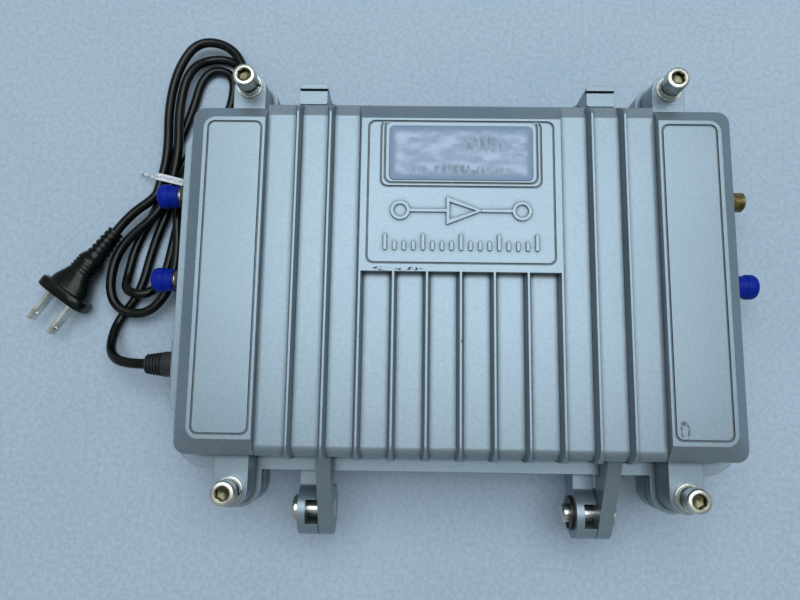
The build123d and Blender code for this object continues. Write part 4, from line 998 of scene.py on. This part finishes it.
iron = layered_finish("laminated_iron", (0.05, 0.05, 0.05), (0.16, 0.15, 0.14), "y", 0.0010, 0.5,
                      metallic=0.5)
tape = layered_finish("taped_winding", (0.50, 0.36, 0.06), (0.75, 0.60, 0.15), "z", 0.0050, 0.4)
wire = layered_finish("copper_wire", (0.22, 0.07, 0.02), (0.60, 0.26, 0.10), "z", 0.0012, 0.3, metallic=0.8)
lead = layered_finish("lead_sleeve", (0.10, 0.03, 0.02), (0.30, 0.06, 0.03), "x", 0.0080, 0.4, depth=0.00002)
sleeving = layered_finish("capacitor_sleeve", (0.012, 0.016, 0.04), (0.03, 0.04, 0.10), "z", 0.0250, 0.35)
dress(iron, "transformer_core")
dress(tape, "transformer_coil")
dress(wire, "tuning_coils")
dress(lead, "mains_leads")
dress(sleeving, "filter_capacitors")
print("layered finishes:", iron.material.name, tape.material.name, wire.material.name)

# %% [markdown]
# What is left inside is plain plastic, glass and tin plate: pads and knobs, the
# fuse and the tin cans over the signal path. Each could have a tree of its own,
# but they lie deep in the open housing. So they use the same function as the
# plated pieces, with one row for each colour.

# %% Plastic, glass and tin plate
tin = plain_finish("tin_plate", (0.62, 0.62, 0.60), 0.3, metallic=0.95, grain=0.002)
black_plastic = plain_finish("black_plastic", (0.03, 0.03, 0.03), 0.45)
white_plastic = plain_finish("white_plastic", (0.72, 0.72, 0.68), 0.4)
blue_plastic = plain_finish("blue_plastic", (0.02, 0.06, 0.35), 0.4)
fuse_glass = plain_finish("fuse_glass", (0.60, 0.66, 0.66), 0.12)
green_plastic = plain_finish("green_terminal", (0.03, 0.28, 0.09), 0.4)
red_lens = plain_finish("red_lens", (0.45, 0.02, 0.02), 0.2)
dress(tin, "amplifier_module", "shield_can", "fuse_clips")
dress(black_plastic, "pad_sockets", "regulator")
dress(white_plastic, "port_insulators", "gain_knob", "tilt_knob", "equaliser_pad")
dress(blue_plastic, "control_bodies", "attenuator_pad")
dress(fuse_glass, "fuse")
dress(green_plastic, "terminal_block")
dress(red_lens, "pilot_lamp")
print("inner pieces are dressed")

# %% [markdown]
# The amplifier lies on pale packing foam, a plain surface with a very fine grain.
# Its beads could be a displaced mesh, but it is only a stage. So it is one flat
# face with a noise on it, large enough that its edge stays far away from every
# side.

# %% Bench of pale foam
bench_half = 3.0
foam_dark = (0.340, 0.440, 0.550, 1)
foam_light = (0.430, 0.525, 0.640, 1)

bench_mesh = bpy.data.meshes.new("bench")
bench_mesh.from_pydata([(-bench_half, -bench_half, 0), (bench_half, -bench_half, 0),
                        (bench_half, bench_half, 0), (-bench_half, bench_half, 0)], [], [(0, 1, 2, 3)])
bench = bpy.data.objects.new("bench", bench_mesh)
bpy.context.scene.collection.objects.link(bench)
foam = Finish("pale_foam", roughness=0.75)
beads = foam.noise(0.0022, detail=3.0)
drift = foam.noise(0.060, detail=2.0, seed=2.0)
foam.put("Base Color", (beads * 0.8 + drift * 0.2).step(0.3, 0.7).blend(foam_dark, foam_light))
foam.relief(beads, 0.0002)
bench_mesh.materials.append(foam.material)
print("bench is", 2 * bench_half, "m wide")

# %% [markdown]
# One broad soft lamp overhead and an even sky light the scene, at a level where a
# colour comes out about as it is written. A small lamp would give hard shadows
# and sharp glints. This one stands past the strand tabs, so that the slopes on
# that side of the lid stay lighter than those towards the hinge.

# %% Lamp and sky
lamp_width, lamp_depth = 1.3, 1.0
lamp_watts = 14.0
lamp_colour = (0.88, 0.96, 1.0)
lamp_place = (0.05, 0.33, 1.3)
sky_colour = (0.95, 1.0, 0.98, 1)
sky_strength = 0.36

lamp_data = bpy.data.lights.new("soft_lamp", "AREA")
lamp_data.shape = "RECTANGLE"
lamp_data.size = lamp_width
lamp_data.size_y = lamp_depth
lamp_data.energy = lamp_watts
lamp_data.color = lamp_colour
lamp = bpy.data.objects.new("soft_lamp", lamp_data)
lamp.location = lamp_place
lamp.rotation_mode = "QUATERNION"
lamp.rotation_quaternion = (-lamp.location).to_track_quat("-Z", "Y")
bpy.context.scene.collection.objects.link(lamp)

world = bpy.data.worlds.new("sky")
world.use_nodes = True
sky = world.node_tree.nodes["Background"]
sky.inputs["Color"].default_value = sky_colour
sky.inputs["Strength"].default_value = sky_strength
bpy.context.scene.world = world
bpy.context.scene.view_settings.view_transform = "Standard"
print("lit by", lamp.name, "and", world.name)

# %% [markdown]
# Pieces that were modelled again must not make the object larger or smaller than its solids. A look at the
# picture would miss a millimetre. Here the scene is only brought up to date.

# %% Bring the scene up to date
bpy.context.view_layer.update()
